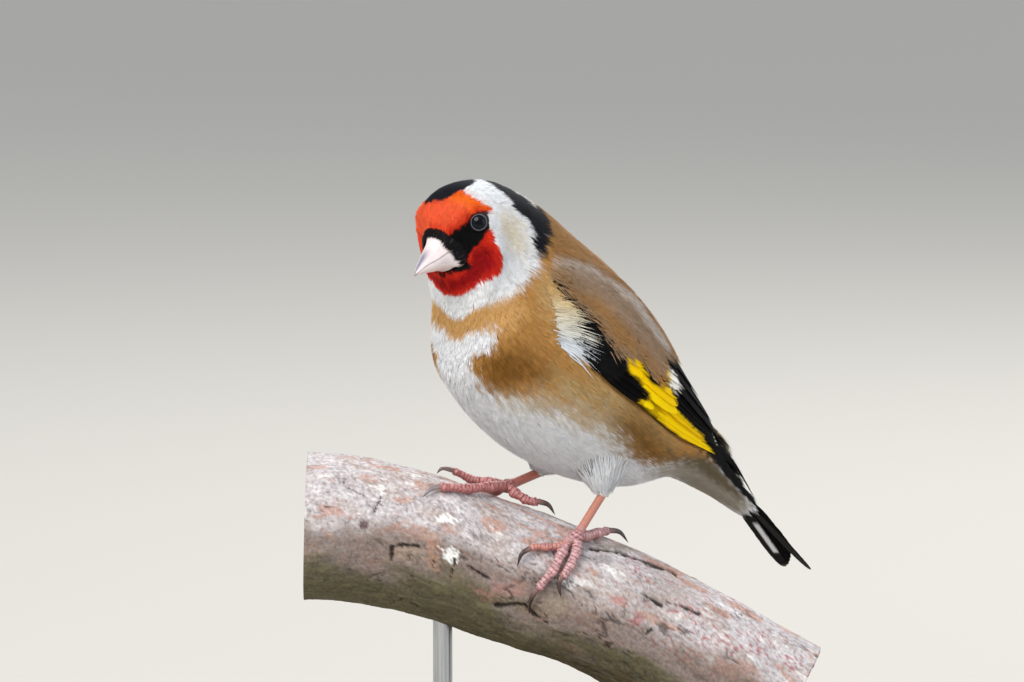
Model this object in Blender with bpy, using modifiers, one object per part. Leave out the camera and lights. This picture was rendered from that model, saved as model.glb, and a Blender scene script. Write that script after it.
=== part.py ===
# A European goldfinch, life size, gripping a cut length of branch that a plain display stand holds up.
# Lengths in this file are millimetres and MM turns them to metres where a mesh is made.
# The bird faces -Y and its left side is +X. BODY_HEIGHT lifts its own zero above the base's underside.

import math
import random

import bmesh
import bpy
import numpy as np
from mathutils import Vector

MM = 0.001
GAP = 0.3
SEAM = 0.36
BODY_HEIGHT = 100.0
ROOT_NAME = "goldfinch"

# Head and body sections from the rim of the bill to the root of the tail. Each has its lowest point (y, z),
# its highest point (y, z), its half width, where between them it is widest, how far its sides lie behind
# its middle, and the power of its upper and of its lower curve.
BODY_SECTIONS = (
    ("bill rim", (-33.0, 24.2), (-35.6, 31.6), 4.3, 0.50, 2.2, 2.0, 2.0),
    ("lores", (-30.6, 20.2), (-34.4, 36.4), 7.7, 0.58, 2.0, 2.0, 1.7),
    ("eye", (-29.0, 16.0), (-31.2, 40.6), 10.2, 0.60, 1.0, 2.0, 1.5),
    ("cheek", (-28.7, 12.0), (-26.0, 42.3), 11.0, 0.56, 0.3, 2.0, 1.5),
    ("hind crown", (-28.9, 7.6), (-18.2, 41.7), 11.0, 0.50, 0.0, 2.0, 1.6),
    ("nape", (-28.4, 2.6), (-8.0, 37.0), 13.9, 0.48, 0.0, 2.0, 2.0),
    ("shoulder", (-24.6, -3.0), (1.6, 29.6), 15.4, 0.50, 0.0, 2.1, 2.0),
    ("breast", (-18.6, -9.0), (10.6, 22.6), 16.8, 0.52, 0.0, 2.1, 2.0),
    ("flank", (-9.6, -15.2), (18.4, 14.0), 17.2, 0.52, 0.0, 2.1, 2.0),
    ("belly", (2.0, -20.2), (25.6, 5.0), 16.0, 0.52, 0.0, 2.1, 2.0),
    ("vent", (14.6, -22.9), (32.2, -4.0), 12.4, 0.52, 0.0, 2.0, 2.0),
    ("rump", (27.0, -21.7), (38.6, -12.0), 8.6, 0.55, 0.0, 2.0, 2.0),
    ("coverts", (38.0, -25.9), (44.1, -20.9), 5.4, 0.60, 0.0, 2.0, 2.0),
    ("tail root", (46.3, -30.6), (49.9, -27.2), 3.5, 0.60, 0.0, 2.0, 2.0),
)
HEAD_TURN = math.radians(9.0)
NECK_PIVOT = (0.0, -14.0)
TURN_FROM = 0.20
TURN_TO = 0.46
BODY_ROWS = 34
BODY_SIDES = 26

# The cuts that part head, neck and torso, each by its lowest and its highest (y, z).
THROAT_CUT = ((-30.5, 17.0), (-17.0, 40.5))
SHOULDER_CUT = ((-29.2, 6.0), (-10.6, 38.0))


def smooth_step(low, high, value):
    share = min(max((value - low) / (high - low), 0.0), 1.0)
    return share * share * (3.0 - 2.0 * share)


def curve_value(places, values, at):
    # A smooth curve through the values, straight on past either end.
    values = [np.asarray(value, float) for value in values]
    last = len(places) - 1
    slopes = []
    for index in range(last + 1):
        low = max(index - 1, 0)
        high = min(index + 1, last)
        slopes.append((values[high] - values[low]) / (places[high] - places[low]))
    if at <= places[0]:
        return values[0] + slopes[0] * (at - places[0])
    if at >= places[last]:
        return values[last] + slopes[last] * (at - places[last])
    index = max(i for i in range(last) if places[i] <= at)
    step = places[index + 1] - places[index]
    x = (at - places[index]) / step
    return (
        (2 * x**3 - 3 * x**2 + 1) * values[index]
        + (x**3 - 2 * x**2 + x) * step * slopes[index]
        + (3 * x**2 - 2 * x**3) * values[index + 1]
        + (x**3 - x**2) * step * slopes[index + 1]
    )


SECTION_PLACES = [index / (len(BODY_SECTIONS) - 1) for index in range(len(BODY_SECTIONS))]
SECTION_VALUES = [
    (*low, *high, width, share, bow, top, bottom)
    for _, low, high, width, share, bow, top, bottom in BODY_SECTIONS
]


def turn_head(point, amount):
    # The neck's turn to the bird's left, in full at the head and fading to nothing at the shoulder.
    angle = HEAD_TURN * amount
    x = point[0] - NECK_PIVOT[0]
    y = point[1] - NECK_PIVOT[1]
    return np.array(
        (
            NECK_PIVOT[0] + x * math.cos(angle) - y * math.sin(angle),
            NECK_PIVOT[1] + x * math.sin(angle) + y * math.cos(angle),
            point[2],
        )
    )


def body_point(along, around):
    # along runs 0 to 1 from the rim of the bill to the root of the tail. around is 0 on the back and a
    # quarter turn on the left side.
    low_y, low_z, high_y, high_z, width, share, bow, top, bottom = curve_value(
        SECTION_PLACES, SECTION_VALUES, along
    )
    low = np.array((0.0, low_y, low_z))
    axis = np.array((0.0, high_y - low_y, high_z - low_z))
    sine = math.sin(around)
    cosine = math.cos(around)
    power = top if cosine >= 0 else bottom
    reach = (abs(cosine) ** power + abs(sine) ** power) ** (-1.0 / power)
    height = (1.0 - share) if cosine >= 0 else share
    point = low + axis * share + axis * (reach * cosine * height)
    point[0] = reach * sine * width
    point[1] += bow * sine * sine
    return turn_head(point, 1.0 - smooth_step(TURN_FROM, TURN_TO, along))


def turn_back(point):
    # Where a point of the turned head lies in the head's own frame.
    angle = -HEAD_TURN
    x = point[0] - NECK_PIVOT[0]
    y = point[1] - NECK_PIVOT[1]
    return np.array(
        (
            NECK_PIVOT[0] + x * math.cos(angle) - y * math.sin(angle),
            NECK_PIVOT[1] + x * math.sin(angle) + y * math.cos(angle),
            point[2],
        )
    )


def body_normal(along, around):
    step = 0.002
    forward = body_point(along + step, around) - body_point(along - step, around)
    sideways = body_point(along, around + step) - body_point(along, around - step)
    normal = np.cross(sideways, forward)
    return normal / np.linalg.norm(normal)


def clear_scene():
    for thing in list(bpy.data.objects):
        bpy.data.objects.remove(thing, do_unlink=True)


def collection_named(name):
    made = bpy.data.collections.new(name)
    bpy.context.scene.collection.children.link(made)
    return made


def linear(channel):
    return channel / 12.92 if channel <= 0.04045 else ((channel + 0.055) / 1.055) ** 2.4


def material_of(name, colour, roughness, metallic=0.0):
    made = bpy.data.materials.new(name)
    made.use_nodes = True
    shader = made.node_tree.nodes["Principled BSDF"]
    channels = [linear(int(colour[i : i + 2], 16) / 255.0) for i in (1, 3, 5)]
    shader.inputs["Base Color"].default_value = (*channels, 1.0)
    shader.inputs["Roughness"].default_value = roughness
    shader.inputs["Metallic"].default_value = metallic
    return made


def lifted(point):
    return Vector((point[0] * MM, point[1] * MM, (point[2] + BODY_HEIGHT) * MM))


def object_from(name, mesh, collection):
    made = bpy.data.objects.new(name, mesh)
    collection.objects.link(made)
    return made


def mesh_of(name, points, faces):
    mesh = bpy.data.meshes.new(name)
    shape = bmesh.new()
    corners = [shape.verts.new(lifted(point)) for point in points]
    for face in faces:
        shape.faces.new([corners[index] for index in face])
    bmesh.ops.recalc_face_normals(shape, faces=shape.faces)
    shape.to_mesh(mesh)
    shape.free()
    return mesh


def ring_loft(rings):
    # A closed skin over rings of equal count, with each end closed on its middle.
    count = len(rings[0])
    points = [point for ring in rings for point in ring]
    faces = []
    for row in range(len(rings) - 1):
        for column in range(count):
            after = (column + 1) % count
            here = row * count
            there = here + count
            faces.append((here + column, here + after, there + after))
            faces.append((here + column, there + after, there + column))
    for ring, offset in ((rings[0], 0), (rings[-1], (len(rings) - 1) * count)):
        points.append(np.mean(ring, axis=0))
        centre = len(points) - 1
        faces += [(offset + i, offset + (i + 1) % count, centre) for i in range(count)]
    return points, faces


def slab(upper, lower):
    # A closed slab between two grids of equal size, split into triangles alike on both faces.
    rows = len(upper)
    columns = len(upper[0])
    points = [point for grid in (upper, lower) for row in grid for point in row]

    def at(face, row, column):
        return face * rows * columns + row * columns + column

    faces = []
    for row in range(rows - 1):
        for column in range(columns - 1):
            for face in (0, 1):
                a = at(face, row, column)
                b = at(face, row, column + 1)
                c = at(face, row + 1, column + 1)
                d = at(face, row + 1, column)
                faces += [(a, b, c), (a, c, d)]
    rim = [(0, column) for column in range(columns)]
    rim += [(row, columns - 1) for row in range(1, rows)]
    rim += [(rows - 1, column) for column in range(columns - 2, -1, -1)]
    rim += [(row, 0) for row in range(rows - 2, 0, -1)]
    for index, place in enumerate(rim):
        following = rim[(index + 1) % len(rim)]
        a = at(0, *place)
        b = at(0, *following)
        c = at(1, *following)
        d = at(1, *place)
        faces += [(a, b, c), (a, c, d)]
    return points, faces


def keep_largest(mesh):
    # Keeps the one closed surface that holds the most, so that a sealed hollow or a loose scrap goes.
    shape = bmesh.new()
    shape.from_mesh(mesh)
    unseen = set(shape.verts)
    pieces = []
    while unseen:
        stack = [unseen.pop()]
        piece = set(stack)
        while stack:
            for edge in stack.pop().link_edges:
                for corner in edge.verts:
                    if corner in unseen:
                        unseen.discard(corner)
                        piece.add(corner)
                        stack.append(corner)
        pieces.append(piece)

    def volume(piece):
        faces = {face for corner in piece for face in corner.link_faces}
        total = 0.0
        for face in faces:
            first = face.verts[0].co
            for one, two in zip(face.verts[1:-1], face.verts[2:]):
                total += first.dot(one.co.cross(two.co))
        return total

    largest = max(pieces, key=volume)
    loose = [corner for corner in shape.verts if corner not in largest]
    bmesh.ops.delete(shape, geom=loose, context="VERTS")
    bmesh.ops.triangulate(shape, faces=shape.faces)
    shape.to_mesh(mesh)
    shape.free()


def apply_modifiers(thing):
    bpy.context.view_layer.update()
    graph = bpy.context.evaluated_depsgraph_get()
    mesh = bpy.data.meshes.new_from_object(thing.evaluated_get(graph))
    thing.modifiers.clear()
    old = thing.data
    thing.data = mesh
    bpy.data.meshes.remove(old)
    mesh.name = thing.name
    keep_largest(mesh)


def combine(thing, others, operation, solver="EXACT"):
    # Joins or cuts one mesh object with several others at once, then removes the others.
    holder = collection_named("joined for " + thing.name)
    for other in others:
        for owner in list(other.users_collection):
            owner.objects.unlink(other)
        holder.objects.link(other)
    modifier = thing.modifiers.new(operation.lower(), "BOOLEAN")
    modifier.operation = operation
    modifier.operand_type = "COLLECTION"
    modifier.collection = holder
    modifier.solver = solver
    apply_modifiers(thing)
    for other in others:
        bpy.data.objects.remove(other, do_unlink=True)
    bpy.data.collections.remove(holder)


def finish(thing, material, angle=35.0):
    thing.data.materials.clear()
    thing.data.materials.append(material)
    thing.data.shade_smooth()
    thing.data.set_sharp_from_angle(angle=math.radians(angle))
    return thing


def tube(name, path, radii, collection, sides=8):
    # A round bar along a path of points, with a radius at each point and closed ends.
    curve = bpy.data.curves.new(name, "CURVE")
    curve.dimensions = "3D"
    curve.bevel_depth = MM
    curve.bevel_resolution = sides // 2 - 2
    curve.use_fill_caps = True
    spline = curve.splines.new("POLY")
    spline.points.add(len(path) - 1)
    for corner, place, radius in zip(spline.points, path, radii):
        corner.co = (*lifted(place), 1.0)
        corner.radius = radius
    holder = bpy.data.objects.new(name, curve)
    collection.objects.link(holder)
    bpy.context.view_layer.update()
    graph = bpy.context.evaluated_depsgraph_get()
    mesh = bpy.data.meshes.new_from_object(holder.evaluated_get(graph))
    bpy.data.objects.remove(holder, do_unlink=True)
    shape = bmesh.new()
    shape.from_mesh(mesh)
    bmesh.ops.remove_doubles(shape, verts=shape.verts, dist=1e-6)
    bmesh.ops.recalc_face_normals(shape, faces=shape.faces)
    bmesh.ops.triangulate(shape, faces=shape.faces)
    shape.to_mesh(mesh)
    shape.free()
    return object_from(name, mesh, collection)


def ball(name, centre, radius, collection, sides=16, rings=10):
    mesh = bpy.data.meshes.new(name)
    shape = bmesh.new()
    bmesh.ops.create_uvsphere(shape, u_segments=sides, v_segments=rings, radius=radius * MM)
    bmesh.ops.translate(shape, verts=shape.verts, vec=lifted(centre))
    shape.to_mesh(mesh)
    shape.free()
    return object_from(name, mesh, collection)


# The folded wing lies on a sheet between a lower edge, a middle line and an upper edge. From the wrist back
# to the rump each station is a place along the body and three angles round it, and the stations at the
# tip are free points, because there the wing lies flat over the root of the tail.
WING_ON_BODY = (
    (0.410, 70.0, 63.0, 56.0),
    (0.450, 80.0, 62.0, 45.0),
    (0.510, 91.0, 64.0, 37.0),
    (0.575, 98.0, 66.0, 33.0),
    (0.650, 96.0, 64.0, 29.0),
    (0.730, 94.0, 60.0, 25.0),
    (0.800, 92.0, 58.0, 22.0),
)
WING_FREE = (
    ((8.2, 35.6, -17.4), (5.9, 37.9, -15.3), (2.4, 39.3, -13.8)),
    ((5.8, 41.7, -20.6), (4.3, 43.2, -19.5), (2.0, 44.3, -18.9)),
    ((4.9, 48.2, -27.9), (3.9, 48.8, -27.3), (2.9, 49.3, -26.9)),
)
WING_LIFT = 0.35
WING_LENGTH = 80.7
CORE_DEPTH = 2.0
FRONT_ROUND = 0.4
FRONT_LENGTH = 6.0
SOCKET_MARGIN = 0.4
SOCKET_REACH = 9.0


def wing_stations():
    rows = []
    for along, lower, middle, upper in WING_ON_BODY:
        angles = (math.radians(angle) for angle in (lower, middle, upper))
        rows.append([body_point(along, a) + body_normal(along, a) * WING_LIFT for a in angles])
    rows += [[np.array(point) for point in row] for row in WING_FREE]
    places = [0.0]
    for before, after in zip(rows, rows[1:]):
        places.append(places[-1] + float(np.linalg.norm(after[1] - before[1])))
    places = [place * WING_LENGTH / places[-1] for place in places]
    return places, [np.concatenate(row) for row in rows]


WING_PLACES, WING_ROWS = wing_stations()


def wing_sheet(back, across):
    # back is the distance from the wrist. across runs from -1 at the lower edge to 1 at the upper edge.
    values = curve_value(WING_PLACES, WING_ROWS, back)
    lower, middle, upper = values[:3], values[3:6], values[6:]
    return (
        lower * across * (across - 1.0) / 2.0
        + middle * (1.0 - across * across)
        + upper * across * (across + 1.0) / 2.0
    )


def wing_directions(back, across):
    step = 0.01
    along = (wing_sheet(back + step, across) - wing_sheet(back - step, across)) / (2 * step)
    over = (wing_sheet(back, across + step) - wing_sheet(back, across - step)) / (2 * step)
    normal = np.cross(along, over)
    return along, over, normal / np.linalg.norm(normal)


def wing_point(back, across, height):
    return wing_sheet(back, across) + wing_directions(back, across)[2] * height


def sided(points, side):
    return [np.array((point[0] * side, point[1], point[2])) for point in points]


def wing_edge(back, margin):
    # How far across the blade reaches at this distance from the wrist, with a round front end.
    lower, middle, upper = (wing_sheet(back, across) for across in (-1.0, 0.0, 1.0))
    half = (np.linalg.norm(middle - lower) + np.linalg.norm(upper - middle)) / 2.0
    front = min(max((back + margin + FRONT_ROUND) / FRONT_LENGTH, 0.0), 1.0)
    return math.sqrt(1.0 - (1.0 - front) ** 2) + margin / half


def wing_slab(name, span, heights, margin, side, collection, rows=16, columns=7):
    def grid(height):
        made = []
        for row in range(rows):
            back = span[0] + (span[1] - span[0]) * row / (rows - 1)
            edge = wing_edge(back, margin)
            places = [2.0 * column / (columns - 1) - 1.0 for column in range(columns)]
            made.append(sided([wing_point(back, place * edge, height) for place in places], side))
        return made

    return object_from(name, mesh_of(name, *slab(grid(heights[1]), grid(heights[0]))), collection)


def width_at(share, shape):
    # A vane's half width as a share of its widest: full along its middle, round or pointed at the tip.
    return float(curve_value((0.0, 0.35, 0.75, 0.93, 1.0), shape, share))


ROUND_VANE = (0.75, 1.0, 0.98, 0.62, 0.16)
LONG_VANE = (0.80, 1.0, 0.82, 0.45, 0.12)


def vane(name, place, rows, half_width, thickness, shape, bed, collection):
    # place(share, offset, height) gives a point at a share along the vane, with an offset across it and a
    # height over it in mm. The underside is flat, or reaches down by bed(share) where that is more.
    upper = []
    lower = []
    for row in range(rows):
        share = 1.0 - (1.0 - row / (rows - 1)) ** VANE_CROWDING
        half = half_width * width_at(share, shape)
        thick = thickness * (1.0 - 0.5 * share * share)
        ridge = thickness * RACHIS_RISE * (1.0 - share)
        upper.append([place(share, u * half, thick / 2.0 + ridge * (1.0 - abs(u))) for u in (-1, 0, 1)])
        lower.append([place(share, u * half, -max(thick / 2.0, bed(share))) for u in (-1, 0, 1)])
    return object_from(name, mesh_of(name, *slab(upper, lower)), collection)


# The wing's feathers in tiers, from the innermost outward. Each tier: how many, where its roots start and
# end from the wrist, where its tips start and end, the lower edge of its first vane and the step to the
# next (as shares of the half blade), half width, height at root and at tip, rows along, shape.
WING_TIERS = (
    ("primary", 7, (34.0, 40.0), (66.0, 80.7), -0.10, -0.145, 1.9, -1.15, -0.75, 5, LONG_VANE),
    ("secondary", 4, (28.0, 32.0), (59.0, 63.0), -0.10, -0.19, 2.5, -0.85, -0.70, 5, ROUND_VANE),
    ("tertial", 3, (24.0, 26.0), (53.0, 65.5), 0.44, -0.28, 2.8, -0.55, -0.38, 5, ROUND_VANE),
    ("primary covert", 2, (15.0, 17.0), (32.0, 36.0), -0.74, -0.22, 1.9, -0.65, -0.55, 4, ROUND_VANE),
    ("greater covert", 5, (18.0, 20.0), (37.0, 42.0), 0.50, -0.27, 2.6, -0.55, -0.15, 4, ROUND_VANE),
    ("alula", 1, (7.0, 7.0), (23.0, 23.0), -0.98, 0.0, 1.6, -0.50, -0.30, 4, LONG_VANE),
    ("median covert", 4, (9.0, 11.0), (25.0, 28.5), 0.36, -0.32, 2.8, -0.40, 0.12, 4, ROUND_VANE),
)
LONGEST_PRIMARY = 5
LOWEST_PRIMARY_SHORTER = 1.2
VANE_THICKNESS = 0.55
VANE_TILT = 0.3
VANE_BED = 0.5
VANE_CROWDING = 1.5
RACHIS_RISE = 0.3
CORE_TOP = -0.95
CORE_END = 52.0


def blade_half(back):
    lower, middle, upper = (wing_sheet(back, across) for across in (-1.0, 0.0, 1.0))
    return (np.linalg.norm(middle - lower) + np.linalg.norm(upper - middle)) / 2.0


def wing_vane(tier, index, side, collection):
    name, count, roots, tips, edge, step, width, low, high, rows, shape = tier
    share_in_tier = index / max(count - 1, 1)
    root = roots[0] + (roots[1] - roots[0]) * share_in_tier
    tip = tips[0] + (tips[1] - tips[0]) * share_in_tier
    if name == "primary" and index > LONGEST_PRIMARY:
        tip = tips[1] - LOWEST_PRIMARY_SHORTER
    elif name == "primary":
        tip = tips[0] + (tips[1] - tips[0]) * index / LONGEST_PRIMARY
    lower_edge = max(edge + step * index, -1.0)

    def level_at(share):
        return low + (high - low) * share

    def place(share, offset, height):
        # offset runs up the blade, and the lower edge is raised over the next vane.
        back = root + (tip - root) * share
        half = blade_half(back)
        across = lower_edge + (width * width_at(min(share, 0.35), shape) + offset) / half
        across = min(max(across, -1.0), 1.0)
        level = level_at(share) - VANE_TILT * offset / width + height
        return sided([wing_point(back, across, level)], side)[0]

    def bed(share):
        # Over the core the vane rests in it.
        back = root + (tip - root) * share
        return level_at(share) - CORE_TOP + VANE_BED if back < CORE_END - 1.0 else 0.0

    return vane(name, place, rows, width, VANE_THICKNESS, shape, bed, collection)


def make_wing(side, name, collection):
    wing = wing_slab(name, (0.0, CORE_END), (-CORE_DEPTH, CORE_TOP), 0.0, side, collection, 12, 6)
    vanes = [wing_vane(tier, index, side, collection) for tier in WING_TIERS for index in range(tier[1])]
    combine(wing, vanes, "UNION")
    return wing


def wing_socket(side, name, collection):
    span = (-SOCKET_MARGIN, WING_LENGTH + 3.0)
    return wing_slab(name, span, (-CORE_DEPTH - GAP, SOCKET_REACH), SOCKET_MARGIN, side, collection)


# The bill, as sections in the head's own frame before the head turns: lowest (y, z), highest (y, z), half
# width. The first one follows the rim of the head, and the mouth line is a list of (y, z) points.
BILL_SECTIONS = (
    ((-34.2, 24.6), (-36.1, 30.4), 3.40, 0.9),
    ((-36.3, 24.5), (-37.9, 28.2), 2.30, 0.3),
    ((-38.4, 24.4), (-39.5, 26.2), 1.25, 0.0),
    ((-39.8, 24.2), (-40.4, 25.0), 0.55, 0.0),
    ((-40.7, 24.0), (-40.8, 24.2), 0.15, 0.0),
)
BILL_SIDES = 20
BILL_FIT = 0.95
BILL_TOP_POWER = 1.75
BILL_LOW_POWER = 2.0
MOUTH_LINE = (
    (-27.0, 26.4),
    (-31.0, 26.9),
    (-33.8, 27.7),
    (-36.4, 26.6),
    (-38.6, 24.9),
    (-40.4, 23.2),
    (-43.0, 21.0),
)
MOUTH_GAP = 0.3
MOUTH_HALF_WIDTH = 9.0
MOUTH_REACH = 16.0
NOSTRIL = (2.25, -35.9, 29.6)
NOSTRIL_RADIUS = 0.42

EYE_ALONG = 0.128
EYE_AROUND = math.radians(62.0)
EYE_RADIUS = 2.6
EYE_SINK = 2.05
LID_RADIUS = 2.0
LID_THICKNESS = 0.36
LID_SIDES = 16
LID_CORNERS = 5


def rim_ring(count):
    return [body_point(0.0, 2.0 * math.pi * index / count) for index in range(count)]


def bill_ring(section):
    low, high, width, bow = section
    low = np.array((0.0, *low))
    axis = np.array((0.0, *high)) - low
    ring = []
    for index in range(BILL_SIDES):
        around = 2.0 * math.pi * index / BILL_SIDES
        sine = math.sin(around)
        cosine = math.cos(around)
        power = BILL_TOP_POWER if cosine >= 0 else BILL_LOW_POWER
        reach = (abs(cosine) ** power + abs(sine) ** power) ** (-1.0 / power)
        point = low + axis * (0.5 + 0.5 * reach * cosine)
        point[0] = reach * sine * width
        point[1] += bow * sine * sine
        ring.append(turn_head(point, 1.0))
    return ring


def bill_whole(name, collection):
    rim = rim_ring(BILL_SIDES)
    middle = np.mean(rim, axis=0)
    tip = np.mean(bill_ring(BILL_SECTIONS[-1]), axis=0)
    forward = (tip - middle) / np.linalg.norm(tip - middle)
    base = [middle + (point - middle) * BILL_FIT + forward * SEAM for point in rim]
    rings = [base] + [bill_ring(section) for section in BILL_SECTIONS]
    return object_from(name, mesh_of(name, *ring_loft(rings)), collection)


def mouth_block(name, away, collection):
    # Everything on one side of the mouth line, as wide as the bill, and half the gap more.
    near = []
    far = []
    sides = (-MOUTH_HALF_WIDTH, MOUTH_HALF_WIDTH)
    for y, z in MOUTH_LINE:
        shift = -away * MOUTH_GAP / 2.0
        near.append([turn_head((x, y, z + shift), 1.0) for x in sides])
        far.append([turn_head((x, y, z + away * MOUTH_REACH), 1.0) for x in sides])
    return object_from(name, mesh_of(name, *slab(near, far)), collection)


def make_bill(collection):
    upper = bill_whole("bill_upper", collection)
    nostrils = []
    for side in (-1, 1):
        x, y, z = NOSTRIL
        centre = turn_head((x * side, y, z), 1.0)
        nostrils.append(ball("nostril", centre, NOSTRIL_RADIUS, collection, 8, 6))
    combine(upper, [mouth_block("below the mouth", -1, collection)] + nostrils, "DIFFERENCE")
    lower = bill_whole("bill_lower", collection)
    combine(lower, [mouth_block("above the mouth", 1, collection)], "DIFFERENCE")
    return upper, lower


def eye_place(side):
    # The eye's centre and the way it looks, mirrored before the head turns.
    middle = turn_back(body_point(EYE_ALONG, EYE_AROUND))
    outward = turn_back(body_point(EYE_ALONG, EYE_AROUND) + body_normal(EYE_ALONG, EYE_AROUND)) - middle
    centre = middle - outward * EYE_SINK
    centre[0] *= side
    outward[0] *= side
    looking = turn_head(centre + outward, 1.0) - turn_head(centre, 1.0)
    return turn_head(centre, 1.0), looking


def lid_ring(name, side, collection):
    centre, looking = eye_place(side)
    seat = centre + looking * EYE_SINK
    mesh = bpy.data.meshes.new(name)
    ring = object_from(name, mesh, collection)
    sides = LID_SIDES
    thick = LID_CORNERS
    across = np.cross(looking, (0.0, 0.0, 1.0))
    across /= np.linalg.norm(across)
    upward = np.cross(across, looking)
    rings = []
    for index in range(sides):
        angle = 2.0 * math.pi * index / sides
        outward = across * math.cos(angle) + upward * math.sin(angle)
        loop = []
        for corner in range(thick):
            turn = 2.0 * math.pi * corner / thick
            reach = LID_RADIUS + LID_THICKNESS * math.cos(turn)
            loop.append(seat + outward * reach + looking * LID_THICKNESS * math.sin(turn))
        rings.append(loop)
    points = [point for loop in rings for point in loop]
    faces = []
    for row in range(sides):
        for column in range(thick):
            a = row * thick + column
            b = row * thick + (column + 1) % thick
            c = (row + 1) % sides * thick + (column + 1) % thick
            d = (row + 1) % sides * thick + column
            faces += [(a, b, c), (a, c, d)]
    ring.data = mesh_of(name, points, faces)
    bpy.data.meshes.remove(mesh)
    return ring


def body_length(name, start, end, rows, sides, collection, swell=0.0):
    rings = []
    for row in range(rows):
        along = start + (end - start) * row / (rows - 1)
        angles = [2.0 * math.pi * index / sides for index in range(sides)]
        rings.append([body_point(along, a) + body_normal(along, a) * swell for a in angles])
    return object_from(name, mesh_of(name, *ring_loft(rings)), collection)


def trim(thing, cut, behind):
    # Keeps what lies behind or before a cut, less half the gap.
    (low_y, low_z), (high_y, high_z) = cut
    across = np.array((0.0, high_z - low_z, low_y - high_y))
    across /= np.linalg.norm(across)
    away = 1.0 if behind else -1.0
    place = np.array((0.0, low_y, low_z)) + across * away * GAP / 2.0
    shape = bmesh.new()
    shape.from_mesh(thing.data)
    parted = bmesh.ops.bisect_plane(
        shape,
        geom=shape.verts[:] + shape.edges[:] + shape.faces[:],
        plane_co=lifted(place),
        plane_no=Vector(across * away),
        clear_inner=True,
    )
    rim = [piece for piece in parted["geom_cut"] if isinstance(piece, bmesh.types.BMEdge)]
    bmesh.ops.edgenet_fill(shape, edges=rim)
    bmesh.ops.recalc_face_normals(shape, faces=shape.faces)
    bmesh.ops.triangulate(shape, faces=shape.faces)
    shape.to_mesh(thing.data)
    shape.free()


def make_body(name, cuts, collection):
    made = body_length(name, 0.0, 1.0, BODY_ROWS, BODY_SIDES, collection)
    for cut, behind in cuts:
        trim(made, cut, behind)
    return made


# The branch runs across the photo's view. Its own directions are along (to the right there), toward the
# viewer, and up. Each station is a place along, the height of its middle, and its radius.
BRANCH_HEADING = math.radians(52.0)
BRANCH_TOWARD = -0.8
BRANCH_STATIONS = (
    (-56.0, -30.2, 15.2),
    (-40.0, -31.0, 14.8),
    (-26.0, -34.0, 14.3),
    (-12.0, -39.5, 13.9),
    (4.0, -45.2, 13.8),
    (24.0, -54.7, 13.8),
    (50.0, -68.8, 13.4),
)
BRANCH_ENDS = (-52.0, 46.0)
BRANCH_ROWS = 19
BRANCH_SIDES = 22
BARK_WAVES = ((3, 0.11, 0.20), (5, -0.17, 0.15), (2, 0.23, 0.16), (8, 0.07, 0.09), (0, 0.31, 0.12))
BARK_SEED = 7


def branch_directions():
    cosine = math.cos(BRANCH_HEADING)
    sine = math.sin(BRANCH_HEADING)
    return np.array((cosine, sine, 0.0)), np.array((sine, -cosine, 0.0)), np.array((0.0, 0.0, 1.0))


def bark_relief(along, around):
    draw = random.Random(BARK_SEED)
    total = 0.0
    for lobes, pitch, depth in BARK_WAVES:
        total += depth * math.sin(lobes * around + pitch * along + draw.uniform(0.0, 2.0 * math.pi))
    return total


def branch_point(along, around, height):
    # around is 0 on the crest and a quarter turn on the side toward the viewer.
    places = [station[0] for station in BRANCH_STATIONS]
    middle, radius = curve_value(places, [station[1:] for station in BRANCH_STATIONS], along)
    ahead = curve_value(places, [station[1:] for station in BRANCH_STATIONS], along + 0.5)[0]
    slope = math.atan2(middle - ahead, 0.5)
    right, toward, up = branch_directions()
    reach = radius + bark_relief(along, around) + height
    side_step = BRANCH_TOWARD + reach * math.sin(around)
    rise = middle + reach * math.cos(around) / math.cos(slope)
    return right * along + toward * side_step + up * rise


def branch_slope(along):
    places = [station[0] for station in BRANCH_STATIONS]
    heights = [station[1] for station in BRANCH_STATIONS]
    return math.atan2(curve_value(places, heights, along) - curve_value(places, heights, along + 0.5), 0.5)


def make_perch(name, collection):
    rings = []
    for row in range(BRANCH_ROWS):
        share = row / (BRANCH_ROWS - 1)
        along = BRANCH_ENDS[0] + (BRANCH_ENDS[1] - BRANCH_ENDS[0]) * share
        square = max(0.0, abs(2.0 * share - 1.0) * 3.0 - 2.0)
        ring = []
        for index in range(BRANCH_SIDES):
            around = 2.0 * math.pi * index / BRANCH_SIDES
            lean = square * math.cos(around) * BRANCH_STATIONS[0][2] * math.sin(branch_slope(along))
            ring.append(branch_point(along + lean, around, 0.0))
        rings.append(ring)
    return object_from(name, mesh_of(name, *ring_loft(rings)), collection)


# Each leg: the joint of the toes, the heel, and how far below the heel the feathers end.
LEGS = {
    "left": ((9.0, -2.8, -31.1), (8.6, 5.9, -21.1), 2.4),
    "right": ((-9.0, -6.6, -22.1), (-8.6, 7.0, -18.3), 5.8),
}
THIGH_TOP = (8.0, 4.5, -11.0)
THIGH_RADII = (3.9, 3.9, 3.5, 2.6, 1.4)
THIGH_HEM = 0.9
THIGH_UNDER = 0.4
THIGH_UNDER_ROWS = 22
TARSUS_RADIUS = 1.04
TARSUS_FOOT = 2.8
ANKLE_SWELL = 0.3
PAD_RADIUS = 1.55
TOE_RADII = (1.12, 0.84)
TOE_STEP = 0.9
SCUTE_DEPTH = 0.07
CLAW_RADII = (0.56, 0.50, 0.36, 0.14)

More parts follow.
